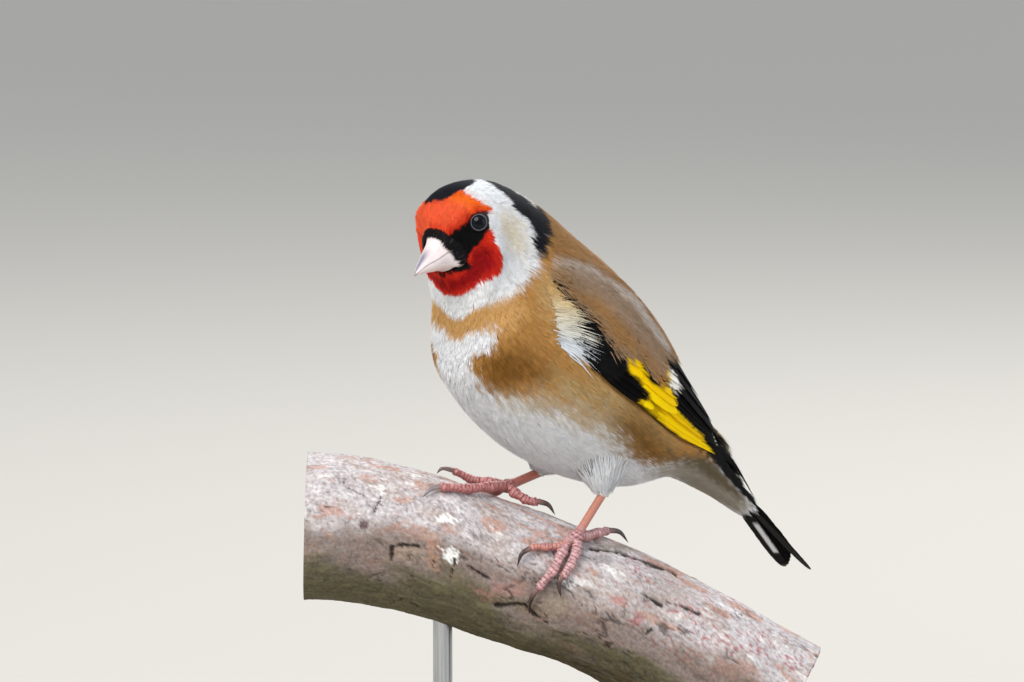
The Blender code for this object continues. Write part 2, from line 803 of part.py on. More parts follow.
# Toes by their way over the branch: (along, degrees round from the crest, height of the middle line above
# the bark). The last three points are the claw's.
TOES = {
    "left": {
        "inner": (
            (-0.2, 48, 1.5), (-2.8, 52, 1.35), (-4.8, 55, 1.25),
            (-6.0, 58, 1.4), (-7.8, 65, 1.4), (-8.7, 75, 0.55),
        ),
        "middle": (
            (1.2, 44, 1.6), (-0.9, 66, 1.4), (-3.6, 82, 1.3),
            (-4.6, 87, 1.4), (-5.9, 96, 1.3), (-6.3, 109, 0.55),
        ),
        "outer": (
            (3.4, 46, 1.6), (2.4, 58, 1.4), (1.2, 68, 1.35),
            (0.35, 72.2, 1.62), (-0.2, 79, 1.32), (0.2, 87, 0.55),
        ),
        "hind": (
            (5.6, 27, 1.5), (7.4, 19, 1.5), (8.8, 11, 1.3),
            (9.6, 6, 1.6), (12.2, -2, 1.9), (14.0, -9, 0.6),
        ),
    },
    "right": {
        "inner": (
            (-14.0, -5, 2.4), (-17.6, -9, 1.5), (-20.2, -7, 1.6),
            (-21.8, -4, 1.9), (-24.0, 4, 1.7), (-25.2, 12, 0.6),
        ),
        "middle": (
            (-14.0, 8, 1.9), (-17.2, 22, 1.45), (-20.6, 31, 1.3),
            (-24.4, 36, 1.35), (-26.4, 41, 1.3), (-28.0, 48, 0.6),
        ),
        "outer": (
            (-13.2, -24, 1.9), (-15.6, -36, 1.45), (-17.6, -45, 1.35),
            (-19.2, -52, 1.5), (-20.6, -60, 1.3), (-21.2, -69, 0.6),
        ),
        "hind": (
            (-9.0, -1, 1.9), (-7.2, 0, 1.45), (-5.6, 0, 1.4),
            (-4.6, 1, 1.9), (-2.4, 2, 2.0), (-1.0, 3, 0.6),
        ),
    },
}


def smooth_path(points, step):
    # Points at even steps along a smooth curve through the given ones.
    places = [0.0]
    for before, after in zip(points, points[1:]):
        places.append(places[-1] + float(np.linalg.norm(np.subtract(after, before))))
    count = max(2, round(places[-1] / step))
    return [curve_value(places, points, places[-1] * index / count) for index in range(count + 1)]


def toe_points(side, toe):
    return [branch_point(along, math.radians(around), height) for along, around, height in TOES[side][toe]]


def make_foot(side, collection):
    joint, heel, _ = LEGS[side]
    joint = np.array(joint)
    upward = np.array(heel) - joint
    upward /= np.linalg.norm(upward)
    foot = ball("foot_" + side, joint, PAD_RADIUS, collection, 12, 8)
    ankle = [joint, joint + upward * (TARSUS_FOOT - GAP)]
    pieces = [tube("ankle", ankle, [TARSUS_RADIUS + ANKLE_SWELL, TARSUS_RADIUS], collection)]
    for toe in TOES[side]:
        points = [joint] + toe_points(side, toe)[:-2]
        path = smooth_path(points, TOE_STEP)
        radii = []
        for index in range(len(path)):
            share = index / (len(path) - 1)
            radius = TOE_RADII[0] + (TOE_RADII[1] - TOE_RADII[0]) * share
            radii.append(radius * (1.0 + SCUTE_DEPTH * (-1) ** index))
        pieces.append(tube("toe", path, radii, collection))
    combine(foot, pieces, "UNION")
    return foot


def make_claw(side, toe, collection):
    points = toe_points(side, toe)[-3:]
    path = smooth_path(points, np.linalg.norm(points[-1] - points[0]) / 6.0)
    forward = (path[1] - path[0]) / np.linalg.norm(path[1] - path[0])
    path[0] = path[0] + forward * SEAM
    places = [index / (len(CLAW_RADII) - 1) for index in range(len(CLAW_RADII))]
    radii = [
        float(curve_value(places, CLAW_RADII, index / (len(path) - 1))) for index in range(len(path))
    ]
    return tube("claw_" + side + "_" + toe, path, radii, collection, 6)


def make_leg(side, collection):
    joint, heel, bare_from = LEGS[side]
    joint = np.array(joint)
    heel = np.array(heel)
    length = np.linalg.norm(joint - heel)
    downward = (joint - heel) / length
    top = heel + downward * (bare_from + SEAM)
    bottom = joint - downward * TARSUS_FOOT
    path = [top + (bottom - top) * share for share in (0.0, 0.45, 0.8, 1.0)]
    radii = [TARSUS_RADIUS * swell for swell in (1.0, 0.95, 1.0, 1.15)]
    return tube("leg_" + side, path, radii, collection, 10)


def make_thigh(side, collection):
    joint, heel, bare_from = LEGS[side]
    joint = np.array(joint)
    heel = np.array(heel)
    downward = (joint - heel) / np.linalg.norm(joint - heel)
    top = np.array(THIGH_TOP)
    top[0] = math.copysign(top[0], heel[0])
    end = heel + downward * bare_from
    places = [index / (len(THIGH_RADII) - 1) for index in range(len(THIGH_RADII))]
    shares = [index / 9 for index in range(10)]
    hem = end - downward * THIGH_HEM
    path = [top + (hem - top) * share for share in shares] + [end]
    radii = [float(curve_value(places, THIGH_RADII, share)) for share in shares] + [THIGH_RADII[-1]]
    thigh = tube("thigh_" + side, path, radii, collection, 12)
    swollen = body_length("swollen torso", THIGH_UNDER, 1.0, THIGH_UNDER_ROWS, BODY_SIDES, collection, GAP)
    combine(thigh, [swollen], "DIFFERENCE")
    return thigh


# The tail's feathers leave one root and fan a little. They lie in a stack, the middle pair on top.
TAIL_ROOT = (0.0, 46.8, -26.8)
TAIL_SLOPE = math.radians(45.5)
TAIL_SWAY = math.radians(1.0)
TAIL_START = 5.0
TAIL_TIPS = (18.6, 19.6, 20.6, 21.5, 22.3, 22.8)
TAIL_HALF_WIDTHS = (2.1, 2.1, 2.05, 2.0, 1.95, 1.85)
TAIL_FAN = math.radians(1.5)
TAIL_ROOT_SPREAD = 0.16
TAIL_STACK = 0.26
TAIL_CORE_START = 1.004
TAIL_CORE_END = 1.06


def tail_vane(index, side, collection):
    down = np.array((0.0, math.cos(TAIL_SLOPE), -math.sin(TAIL_SLOPE)))
    normal = np.array((0.0, math.sin(TAIL_SLOPE), math.cos(TAIL_SLOPE)))
    fan = TAIL_FAN * (index + 0.5)
    tip = TAIL_TIPS[index]

    def place(share, offset, height):
        reach = TAIL_START + (tip - TAIL_START) * share
        across = TAIL_ROOT_SPREAD * (index + 0.5) + reach * math.sin(fan) + offset
        level = height + TAIL_STACK * (len(TAIL_TIPS) / 2.0 - index + side / 4.0)
        level -= VANE_TILT * offset / TAIL_HALF_WIDTHS[index]
        point = np.array(TAIL_ROOT) + down * reach * math.cos(fan) + normal * level
        point[0] = across * side + reach * math.sin(TAIL_SWAY)
        return point

    def bed(share):
        return 0.0

    return vane("rectrix", place, 5, TAIL_HALF_WIDTHS[index], VANE_THICKNESS, ROUND_VANE, bed, collection)


def make_tail(collection):
    tail = body_length("tail", TAIL_CORE_START, TAIL_CORE_END, 4, 20, collection)
    vanes = [tail_vane(index, side, collection) for index in range(len(TAIL_TIPS)) for side in (-1, 1)]
    combine(tail, vanes, "UNION")
    return tail


# The display stand: a round base, and two rods that stand in blind sockets in the base and in the branch.
BASE_RADIUS = 52.0
BASE_HEIGHT = 8.0
BASE_ROUND = 1.2
ROD_RADIUS = 2.0
ROD_PLACES = {"front": -24.0, "back": 22.0}
ROD_IN_BASE = 5.0
ROD_IN_BRANCH = 6.0


def upright(name, x, y, low, high, radius, collection, sides=24):
    mesh = bpy.data.meshes.new(name)
    shape = bmesh.new()
    bmesh.ops.create_cone(
        shape,
        cap_ends=True,
        segments=sides,
        radius1=radius * MM,
        radius2=radius * MM,
        depth=(high - low) * MM,
    )
    bmesh.ops.translate(shape, verts=shape.verts, vec=Vector((x, y, (low + high) / 2.0)) * MM)
    shape.to_mesh(mesh)
    shape.free()
    return object_from(name, mesh, collection)


def rod_spot(place):
    right, toward, _ = branch_directions()
    spot = right * place + toward * BRANCH_TOWARD
    return spot[0], spot[1]


def make_stand(perch, parts, cutters, materials):
    base = upright("stand_base", 0.0, 0.0, 0.0, BASE_HEIGHT, BASE_RADIUS, parts, 56)
    for which, place in ROD_PLACES.items():
        x, y = rod_spot(place)
        under = branch_point(place, math.pi, 0.0)[2] + BODY_HEIGHT
        top = under + ROD_IN_BRANCH
        foot = BASE_HEIGHT - ROD_IN_BASE
        rod = upright("stand_rod_" + which, x, y, foot + GAP, top - GAP, ROD_RADIUS, parts)
        finish(rod, materials["rod"])
        for owner, low, high in ((base, foot, BASE_HEIGHT + 4.0), (perch, under - 8.0, top)):
            hole = upright("hole for " + rod.name, x, y, low, high, ROD_RADIUS + GAP, cutters)
            hole.hide_render = True
            hole.display_type = "WIRE"
            cut = owner.modifiers.new("socket " + which, "BOOLEAN")
            cut.operation = "DIFFERENCE"
            cut.object = hole
    edge = base.modifiers.new("round edge", "BEVEL")
    edge.width = BASE_ROUND * MM
    edge.segments = 2
    edge.limit_method = "ANGLE"
    base.modifiers.move(len(base.modifiers) - 1, 0)
    finish(base, materials["base"])


def make_materials():
    return {
        "face": material_of("crimson face feathers", "#B5211A", 0.8),
        "nape": material_of("white and black nape feathers", "#D8CFC4", 0.8),
        "body": material_of("buff body feathers", "#A97B4A", 0.85),
        "wing": material_of("black and yellow flight feathers", "#1B1A1C", 0.6),
        "tail": material_of("black tail feathers", "#1D1B1C", 0.6),
        "bill": material_of("pale horn bill", "#E3CFCB", 0.4),
        "eye": material_of("dark eye", "#140E0C", 0.05),
        "leg": material_of("pink scaled skin", "#B9695C", 0.55),
        "claw": material_of("dark horn claws", "#2E211F", 0.35),
        "thigh": material_of("white thigh feathers", "#D9D6D2", 0.85),
        "bark": material_of("grey bark", "#A2958F", 0.9),
        "rod": material_of("brushed steel rods", "#B9BABC", 0.35, 1.0),
        "base": material_of("oiled walnut base", "#5B3A26", 0.5),
    }


def main():
    clear_scene()
    parts = collection_named(ROOT_NAME)
    cutters = collection_named("cutters")
    materials = make_materials()

    head = make_body("head", ((THROAT_CUT, False),), parts)
    lids = [lid_ring("lid", side, parts) for side in (-1, 1)]
    combine(head, lids, "UNION")
    for side, label in ((1, "left"), (-1, "right")):
        centre, _ = eye_place(side)
        eye = ball("eye_" + label, centre, EYE_RADIUS, parts, 14, 9)
        finish(eye, materials["eye"])
        socket = ball("eye socket " + label, centre, EYE_RADIUS + GAP, cutters, 20, 14)
        socket.hide_render = True
        socket.display_type = "WIRE"
        cut = head.modifiers.new("eye socket " + label, "BOOLEAN")
        cut.operation = "DIFFERENCE"
        cut.object = socket
    finish(head, materials["face"])
    for piece in make_bill(parts):
        finish(piece, materials["bill"])

    neck = make_body("neck", ((THROAT_CUT, True), (SHOULDER_CUT, False)), parts)
    torso = make_body("torso", ((SHOULDER_CUT, True),), parts)
    tail = make_tail(parts)
    sockets = [wing_socket(side, "wing socket", parts) for side in (-1, 1)]
    combine(torso, sockets, "DIFFERENCE")
    sockets = [wing_socket(side, "wing socket", parts) for side in (-1, 1)]
    combine(tail, sockets, "DIFFERENCE")
    finish(neck, materials["nape"])
    finish(torso, materials["body"])
    finish(tail, materials["tail"])
    for side, label in ((1, "left"), (-1, "right")):
        finish(make_wing(side, "wing_" + label, parts), materials["wing"])
        finish(make_thigh(label, parts), materials["thigh"])
        finish(make_leg(label, parts), materials["leg"])
        finish(make_foot(label, parts), materials["leg"])
        for toe in TOES[label]:
            finish(make_claw(label, toe, parts), materials["claw"])

    perch = make_perch("perch", parts)
    make_stand(perch, parts, cutters, materials)
    finish(perch, materials["bark"])


main()
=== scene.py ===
import math
import random

import bpy
import numpy as np
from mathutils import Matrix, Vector, noise


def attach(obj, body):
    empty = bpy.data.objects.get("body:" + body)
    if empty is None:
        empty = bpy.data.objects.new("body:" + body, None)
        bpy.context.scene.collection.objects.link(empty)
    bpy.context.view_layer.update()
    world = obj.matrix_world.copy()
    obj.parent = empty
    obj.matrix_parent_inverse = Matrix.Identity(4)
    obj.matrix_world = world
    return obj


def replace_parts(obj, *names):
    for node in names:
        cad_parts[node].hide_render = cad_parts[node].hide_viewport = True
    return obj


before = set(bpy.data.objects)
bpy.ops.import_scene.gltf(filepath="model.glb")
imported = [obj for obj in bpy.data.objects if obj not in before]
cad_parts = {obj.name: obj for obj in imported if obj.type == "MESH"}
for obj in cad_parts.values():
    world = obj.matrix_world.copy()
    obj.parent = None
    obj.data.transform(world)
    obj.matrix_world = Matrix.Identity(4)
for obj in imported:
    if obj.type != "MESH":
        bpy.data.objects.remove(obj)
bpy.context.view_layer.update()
draw = np.random.default_rng(41)

# Sizes are in millimetres from the bird's own origin, which stands this far above the stand's underside.
bodyLift = 100.0


def say(text):
    print("goldfinch:", text, flush=True)


def smoothStep(low, high, value):
    share = np.clip((value - low) / (high - low), 0.0, 1.0)
    return share * share * (3.0 - 2.0 * share)


def mix(one, two, share):
    return one + (two - one) * share


def curve(places, values, at):
    # A smooth curve through rows of values, straight on past either end.
    places = np.asarray(places, float)
    values = np.asarray(values, float).reshape(len(places), -1)
    at = np.atleast_1d(np.asarray(at, float))
    last = len(places) - 1
    before = np.maximum(np.arange(last + 1) - 1, 0)
    after = np.minimum(np.arange(last + 1) + 1, last)
    slopes = (values[after] - values[before]) / (places[after] - places[before])[:, None]
    index = np.clip(np.searchsorted(places, at, side="right") - 1, 0, last - 1)
    step = (places[index + 1] - places[index])[:, None]
    x = np.clip((at - places[index])[:, None] / step, 0.0, 1.0)
    made = (
        (2 * x**3 - 3 * x**2 + 1) * values[index]
        + (x**3 - 2 * x**2 + x) * step * slopes[index]
        + (3 * x**2 - 2 * x**3) * values[index + 1]
        + (x**3 - x**2) * step * slopes[index + 1]
    )
    made += slopes[0] * np.minimum(at - places[0], 0.0)[:, None]
    made += slopes[last] * np.maximum(at - places[last], 0.0)[:, None]
    return made


def unit(vectors):
    return vectors / np.maximum(np.linalg.norm(vectors, axis=-1, keepdims=True), 1e-9)


def linearChannel(value):
    return value / 12.92 if value <= 0.04045 else ((value + 0.055) / 1.055) ** 2.4


def tone(hexColour):
    # An sRGB hex colour as linear red, green and blue.
    return np.array([linearChannel(int(hexColour[i : i + 2], 16) / 255.0) for i in (1, 3, 5)])


def meshPiece(name, points, faces, material, tints=None, bake=None, shading=None):
    # points in millimetres, faces as triples or quads of indices; tints, bake places and normals by vertex
    faces = np.asarray(faces, np.int32)
    corners = faces.shape[1]
    mesh = bpy.data.meshes.new(name)
    mesh.vertices.add(len(points))
    metres = (np.asarray(points, float) + (0.0, 0.0, bodyLift)) * 0.001
    mesh.vertices.foreach_set("co", metres.astype(np.float32).ravel())
    mesh.loops.add(faces.size)
    mesh.loops.foreach_set("vertex_index", faces.ravel())
    mesh.polygons.add(len(faces))
    mesh.polygons.foreach_set("loop_start", np.arange(0, faces.size, corners, dtype=np.int32))
    mesh.polygons.foreach_set("loop_total", np.full(len(faces), corners, np.int32))
    mesh.polygons.foreach_set("use_smooth", np.full(len(faces), True))
    if tints is not None:
        layer = mesh.color_attributes.new("tint", "FLOAT_COLOR", "POINT")
        whole = np.ones((len(points), 4), np.float32)
        whole[:, :3] = np.clip(tints, 0.0, 1.0)
        layer.data.foreach_set("color", whole.ravel())
    if bake is not None:
        layer = mesh.uv_layers.new(name="OFBake")
        layer.data.foreach_set("uv", np.asarray(bake, np.float32)[faces.ravel()].ravel())
    mesh.update(calc_edges=True)
    mesh.validate()
    if shading is not None:
        mesh.normals_split_custom_set_from_vertices(unit(shading).tolist())
    mesh.materials.append(material)
    piece = bpy.data.objects.new(name, mesh)
    bpy.context.scene.collection.objects.link(piece)
    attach(piece, "root")
    return piece


def gridFaces(rows, columns, around=False):
    # Quads over a grid of points, closed round its columns where asked.
    row = np.arange(rows - 1)[:, None]
    column = np.arange(columns if around else columns - 1)[None, :]
    after = (column + 1) % columns
    a = row * columns + column
    b = row * columns + after
    return np.stack([a, b, b + columns, a + columns], axis=-1).reshape(-1, 4)


def triangles(quads):
    quads = np.asarray(quads)
    return np.concatenate([quads[:, [0, 1, 2]], quads[:, [0, 2, 3]]])


def capFan(ring, centre, flip=False):
    ring = np.asarray(ring)
    after = np.roll(ring, -1)
    fan = np.stack([ring, after, np.full(len(ring), centre)], axis=-1)
    return fan[:, ::-1] if flip else fan


def loftTube(rings):
    # rings: rows x sides x 3. Returns points and triangles of a closed loft with outward faces.
    rows, sides = rings.shape[:2]
    points = np.concatenate([rings.reshape(-1, 3), rings[:1].mean(axis=1), rings[-1:].mean(axis=1)])
    first = np.arange(sides)
    last = (rows - 1) * sides + first
    caps = [capFan(first, rows * sides, True), capFan(last, rows * sides + 1)]
    faces = np.concatenate([triangles(gridFaces(rows, sides, True)), *caps])
    return points, outward(points, faces)


def outward(points, faces):
    a, b, c = (points[faces[:, i]] for i in range(3))
    if np.einsum("ij,ij->i", a, np.cross(b, c)).sum() < 0:
        return faces[:, ::-1]
    return faces


def addNode(tree, kind, settings=None, **links):
    # Adds a node, sets its properties and sockets, and links sockets to other nodes' outputs.
    made = tree.nodes.new("ShaderNode" + kind)
    for key, value in (settings or {}).items():
        if hasattr(made, key) and not key[:1].isupper():
            setattr(made, key, value)
        else:
            made.inputs[int(key) if key.isdigit() else key].default_value = value
    for key, source in links.items():
        numbered = key[0] == "i" and key[1:].isdigit()
        tree.links.new(source, made.inputs[int(key[1:]) if numbered else key.replace("_", " ")])
    return made


def newMaterial(name, roughness, specular=0.5, **sockets):
    material = bpy.data.materials.new(name)
    material.use_nodes = True
    tree = material.node_tree
    shader = tree.nodes["Principled BSDF"]
    shader.inputs["Roughness"].default_value = roughness
    shader.inputs["Specular IOR Level"].default_value = specular
    for key, value in sockets.items():
        shader.inputs[key.replace("_", " ")].default_value = value
    return material, tree, shader


def objectNoise(tree, millimetres, stretch=None, **settings):
    # Noise in the object's own space with blotches of a size in millimetres, squeezed where asked.
    place = addNode(tree, "TexCoord").outputs["Object"]
    if stretch:
        place = addNode(tree, "Mapping", {"Scale": stretch}, i0=place).outputs[0]
    settings["Scale"] = 1000.0 / millimetres
    return addNode(tree, "TexNoise", settings, i0=place).outputs["Fac"]


def relieve(tree, shader, source, strength, millimetres):
    # Raises the surface by a pattern.
    bump = addNode(tree, "Bump", {"Strength": strength, "Distance": millimetres * 0.001}, Height=source)
    tree.links.new(bump.outputs[0], shader.inputs["Normal"])


def shadeTint(tree, shader, source, reads, gives):
    # The vertex tint as base colour, darker and lighter by a pattern: reads and gives are its two ranges.
    tint = addNode(tree, "Attribute", {"attribute_name": "tint"})
    ends = {"From Min": reads[0], "From Max": reads[1], "To Min": gives[0], "To Max": gives[1]}
    bright = addNode(tree, "MapRange", ends, i0=source)
    shade = addNode(tree, "VectorMath", {"operation": "SCALE"}, i0=tint.outputs["Color"])
    tree.links.new(bright.outputs[0], shade.inputs["Scale"])
    tree.links.new(shade.outputs[0], shader.inputs["Base Color"])


def scatterUnder(shader, *millimetres):
    # How far red, green and blue light go under the surface.
    shader.inputs["Subsurface Radius"].default_value = [value * 0.001 for value in millimetres]
    shader.inputs["Subsurface Scale"].default_value = 1.0


def ramp(tree, source, stops):
    made = addNode(tree, "ValToRGB", i0=source)
    elements = made.color_ramp.elements
    while len(elements) < len(stops):
        elements.new(0.5)
    for element, (place, colour) in zip(elements, stops):
        element.position = place
        element.color = (*colour, 1.0) if len(colour) == 3 else colour
    return made.outputs["Color"]


# The camera stands where the photo's did: 52 degrees round from the bird's front and a little above it.
photoView = {
    "azimuth": 52.0,
    "elevation": 6.0,
    "lens": 400.0,
    "sensor": 36.0,
    "frame": (1024, 682),
    "birdAt": (560.0, 380.0),
    "pixelsPerMm": 4.9,
}


def viewDirections(view):
    azimuth = math.radians(view["azimuth"])
    elevation = math.radians(view["elevation"])
    right = np.array((math.cos(azimuth), math.sin(azimuth), 0.0))
    toward = np.array(
        (
            math.sin(azimuth) * math.cos(elevation),
            -math.cos(azimuth) * math.cos(elevation),
            math.sin(elevation),
        )
    )
    return right, np.cross(toward, right), toward


viewRight, viewUp, viewToward = viewDirections(photoView)
viewDistance = photoView["lens"] / photoView["sensor"] * photoView["frame"][0] / photoView["pixelsPerMm"]


def makeCamera(view):
    data = bpy.data.cameras.new("camera")
    data.lens = view["lens"]
    data.sensor_width = view["sensor"]
    width, height = view["frame"]
    data.shift_x = (width / 2.0 - view["birdAt"][0]) / width
    data.shift_y = (view["birdAt"][1] - height / 2.0) / width
    data.clip_start = 0.1
    data.clip_end = 60.0
    camera = bpy.data.objects.new("camera", data)
    bpy.context.scene.collection.objects.link(camera)
    place = viewToward * viewDistance
    camera.location = Vector((place[0], place[1], place[2] + bodyLift)) * 0.001
    camera.rotation_euler = Vector(viewToward).to_track_quat("Z", "Y").to_euler()
    bpy.context.scene.camera = camera


def onPhoto(points):
    # Where points land in the photo, in its pixels.
    near = viewDistance / (viewDistance - points @ viewToward) * photoView["pixelsPerMm"]
    flat = np.stack([points @ viewRight, -(points @ viewUp)], axis=-1)
    return flat * near[..., None] + photoView["birdAt"]


# A matt plaster floor under even daylight. The trowel's marks are a hand wide.
stageLook = {
    "floor": "#c9c5bd",
    "floorSize": 12.0,
    "trowelMarks": 333.3,
    "world": "#e1e6ec",
    "worldStrength": 0.82,
}


def makeStage(look):
    material, tree, shader = newMaterial("painted plaster floor", 0.85, 0.2)
    scale = 1000.0 / look["trowelMarks"]
    grain = addNode(tree, "TexNoise", {"Scale": scale, "Detail": 4.0})
    base = tone(look["floor"])
    colour = ramp(tree, grain.outputs["Fac"], [(0.3, base * 0.97), (0.7, base * 1.03)])
    tree.links.new(colour, shader.inputs["Base Color"])
    half = look["floorSize"] / 2.0 * 1000.0
    rows = np.linspace(-half, half, 9)
    points = np.array([(x, y, -bodyLift) for x in rows for y in rows])
    mesh = bpy.data.meshes.new("floor")
    mesh.from_pydata([tuple((p + (0, 0, bodyLift)) * 0.001) for p in points], [], gridFaces(9, 9).tolist())
    mesh.materials.append(material)
    floor = bpy.data.objects.new("floor", mesh)
    bpy.context.scene.collection.objects.link(floor)
    world = bpy.data.worlds.new("studio")
    world.use_nodes = True
    background = world.node_tree.nodes["Background"]
    background.inputs["Color"].default_value = (*tone(look["world"]), 1.0)
    background.inputs["Strength"].default_value = look["worldStrength"]
    bpy.context.scene.world = world
    bpy.context.scene.view_settings.view_transform = "Standard"


# Soft boxes: place as metres to the camera's right, above the bird and toward the camera.
lamps = (
    ("key", (-0.55, 0.75, 0.75), 0.75, 12.0, "#fffaf4"),
    ("fill", (0.9, 0.35, 0.8), 1.0, 3.2, "#eef3ff"),
    ("rim", (0.35, 0.85, -0.8), 0.8, 9.0, "#ffffff"),
)


def makeLamps():
    for name, (across, upward, near), size, power, colour in lamps:
        data = bpy.data.lights.new(name, "AREA")
        data.shape = "DISK"
        data.size = size
        data.energy = power
        data.color = tone(colour)
        lamp = bpy.data.objects.new(name, data)
        bpy.context.scene.collection.objects.link(lamp)
        flatToward = unit(np.array((viewToward[0], viewToward[1], 0.0)))
        place = viewRight * across + np.array((0.0, 0.0, upward)) + flatToward * near
        lamp.location = Vector(place) + Vector((0.0, 0.0, bodyLift * 0.001))
        lamp.rotation_euler = Vector(place).to_track_quat("Z", "Y").to_euler()


makeCamera(photoView)
makeStage(stageLook)
makeLamps()
say("camera, floor and lamps")


# The body's form: stations from the bill rim to the root of the tail. Each gives its lowest and highest
# points in side view, half width, share of its height below the widest place, how far its sides bow back,
# and how square its top and bottom are.
bodyStations = np.array(
    [
        (-33.0, 24.2, -35.6, 31.6, 4.3, 0.50, 2.2, 2.0, 2.0),
        (-30.6, 20.2, -34.4, 36.4, 7.7, 0.58, 2.0, 2.0, 1.7),
        (-29.0, 16.0, -31.2, 40.6, 10.2, 0.60, 1.0, 2.0, 1.5),
        (-28.7, 12.0, -26.0, 42.3, 11.0, 0.56, 0.3, 2.0, 1.5),
        (-28.9, 7.6, -18.2, 41.7, 11.0, 0.50, 0.0, 2.0, 1.6),
        (-28.4, 2.6, -8.0, 37.0, 13.9, 0.48, 0.0, 2.0, 2.0),
        (-24.6, -3.0, 1.6, 29.6, 15.4, 0.50, 0.0, 2.1, 2.0),
        (-18.6, -9.0, 10.6, 22.6, 16.8, 0.52, 0.0, 2.1, 2.0),
        (-9.6, -15.2, 18.4, 14.0, 17.2, 0.52, 0.0, 2.1, 2.0),
        (2.0, -20.2, 25.6, 5.0, 16.0, 0.52, 0.0, 2.1, 2.0),
        (14.6, -22.9, 32.2, -4.0, 12.4, 0.52, 0.0, 2.0, 2.0),
        (27.0, -21.7, 38.6, -12.0, 8.6, 0.55, 0.0, 2.0, 2.0),
        (38.0, -25.9, 44.1, -20.9, 5.4, 0.60, 0.0, 2.0, 2.0),
        (46.3, -30.6, 49.9, -27.2, 3.5, 0.60, 0.0, 2.0, 2.0),
    ]
)
stationPlaces = np.linspace(0.0, 1.0, len(bodyStations))
headTurn = {"degrees": 9.0, "pivot": (0.0, -14.0), "from": 0.20, "to": 0.46}


def turnHead(points, amount):
    # The neck's turn to the bird's left, full at the head and none behind the shoulder.
    angle = math.radians(headTurn["degrees"]) * np.asarray(amount)
    x = points[..., 0] - headTurn["pivot"][0]
    y = points[..., 1] - headTurn["pivot"][1]
    return np.stack(
        [
            headTurn["pivot"][0] + x * np.cos(angle) - y * np.sin(angle),
            headTurn["pivot"][1] + x * np.sin(angle) + y * np.cos(angle),
            points[..., 2],
        ],
        axis=-1,
    )


def paired(one, two):
    # Two values or arrays as float arrays of one shape.
    return np.broadcast_arrays(np.atleast_1d(one).astype(float), np.atleast_1d(two).astype(float))


def onForm(along, around):
    # Points of the body's form. around is 0 on the back, a quarter turn on the left side.
    along, around = paired(along, around)
    values = curve(stationPlaces, bodyStations, along.ravel()).reshape(*along.shape, 9)
    lowY, lowZ, highY, highZ, width, share, bow, topPower, lowPower = (values[..., i] for i in range(9))
    sine = np.sin(around)
    cosine = np.cos(around)
    power = np.where(cosine >= 0, topPower, lowPower)
    reach = (np.abs(cosine) ** power + np.abs(sine) ** power) ** (-1.0 / power)
    climb = share + reach * cosine * np.where(cosine >= 0, 1.0 - share, share)
    back = mix(lowY, highY, climb) + bow * sine * sine
    points = np.stack([reach * sine * width, back, mix(lowZ, highZ, climb)], axis=-1)
    return turnHead(points, 1.0 - smoothStep(headTurn["from"], headTurn["to"], along))


def formDirections(along, around):
    # Steps per unit along and per radian around, and the outward normal.
    step = 0.002
    ahead = (onForm(along + step, around) - onForm(along - step, around)) / (2 * step)
    sideways = (onForm(along, around + step) - onForm(along, around - step)) / (2 * step)
    return ahead, sideways, unit(np.cross(sideways, ahead))


def bodyPoint(along, around, height=0.0):
    normal = formDirections(along, around)[2]
    return onForm(along, around) + normal * np.asarray(height)[..., None]


# The folded wing's sheet: on the body as a place along and three angles, then free of it at the tip.
wingOnBody = (
    (0.410, 70.0, 63.0, 56.0),
    (0.450, 80.0, 62.0, 45.0),
    (0.510, 91.0, 64.0, 37.0),
    (0.575, 98.0, 66.0, 33.0),
    (0.650, 96.0, 64.0, 29.0),
    (0.730, 94.0, 60.0, 25.0),
    (0.800, 92.0, 58.0, 22.0),
)
wingFree = (
    (8.2, 35.6, -17.4, 5.9, 37.9, -15.3, 2.4, 39.3, -13.8),
    (5.8, 41.7, -20.6, 4.3, 43.2, -19.5, 2.0, 44.3, -18.9),
    (4.9, 48.2, -27.9, 3.9, 48.8, -27.3, 2.9, 49.3, -26.9),
)
wingLength = 80.7
wingLift = 0.35


def wingStations():
    rows = []
    for along, *angles in wingOnBody:
        rows.append(bodyPoint(np.full(3, along), np.radians(angles), np.full(3, wingLift)).ravel())
    rows += [np.array(row) for row in wingFree]
    rows = np.array(rows)
    gaps = np.linalg.norm(rows[1:, 3:6] - rows[:-1, 3:6], axis=1)
    places = np.concatenate([[0.0], np.cumsum(gaps)])
    return places * wingLength / places[-1], rows


wingPlaces, wingRows = wingStations()


def onWing(back, across):
    # back is the distance from the wrist, across runs from -1 at the lower edge to 1 at the upper edge
    back, across = paired(back, across)
    values = curve(wingPlaces, wingRows, back.ravel()).reshape(*back.shape, 9)
    u = across[..., None]
    return (
        values[..., :3] * u * (u - 1.0) / 2.0
        + values[..., 3:6] * (1.0 - u * u)
        + values[..., 6:] * u * (u + 1.0) / 2.0
    )


def wingDirections(back, across):
    step = 0.01
    ahead = (onWing(back + step, across) - onWing(back - step, across)) / (2 * step)
    over = (onWing(back, across + step) - onWing(back, across - step)) / (2 * step)
    return ahead, over, unit(np.cross(ahead, over))


def wingPoint(back, across, height=0.0):
    return onWing(back, across) + wingDirections(back, across)[2] * np.asarray(height)[..., None]


def sided(points, side):
    return points * (side, 1.0, 1.0)


# Reading places off the photo: the near side of the form, projected to the photo's pixels.
allRound = np.radians(np.linspace(-180, 180, 241))
seekAlong, seekAround = np.meshgrid(np.linspace(0.0, 1.0, 241), allRound, indexing="ij")
seekPixels = onPhoto(onForm(seekAlong, seekAround))
seekFacing = (formDirections(seekAlong, seekAround)[2] @ viewToward) > 0.03


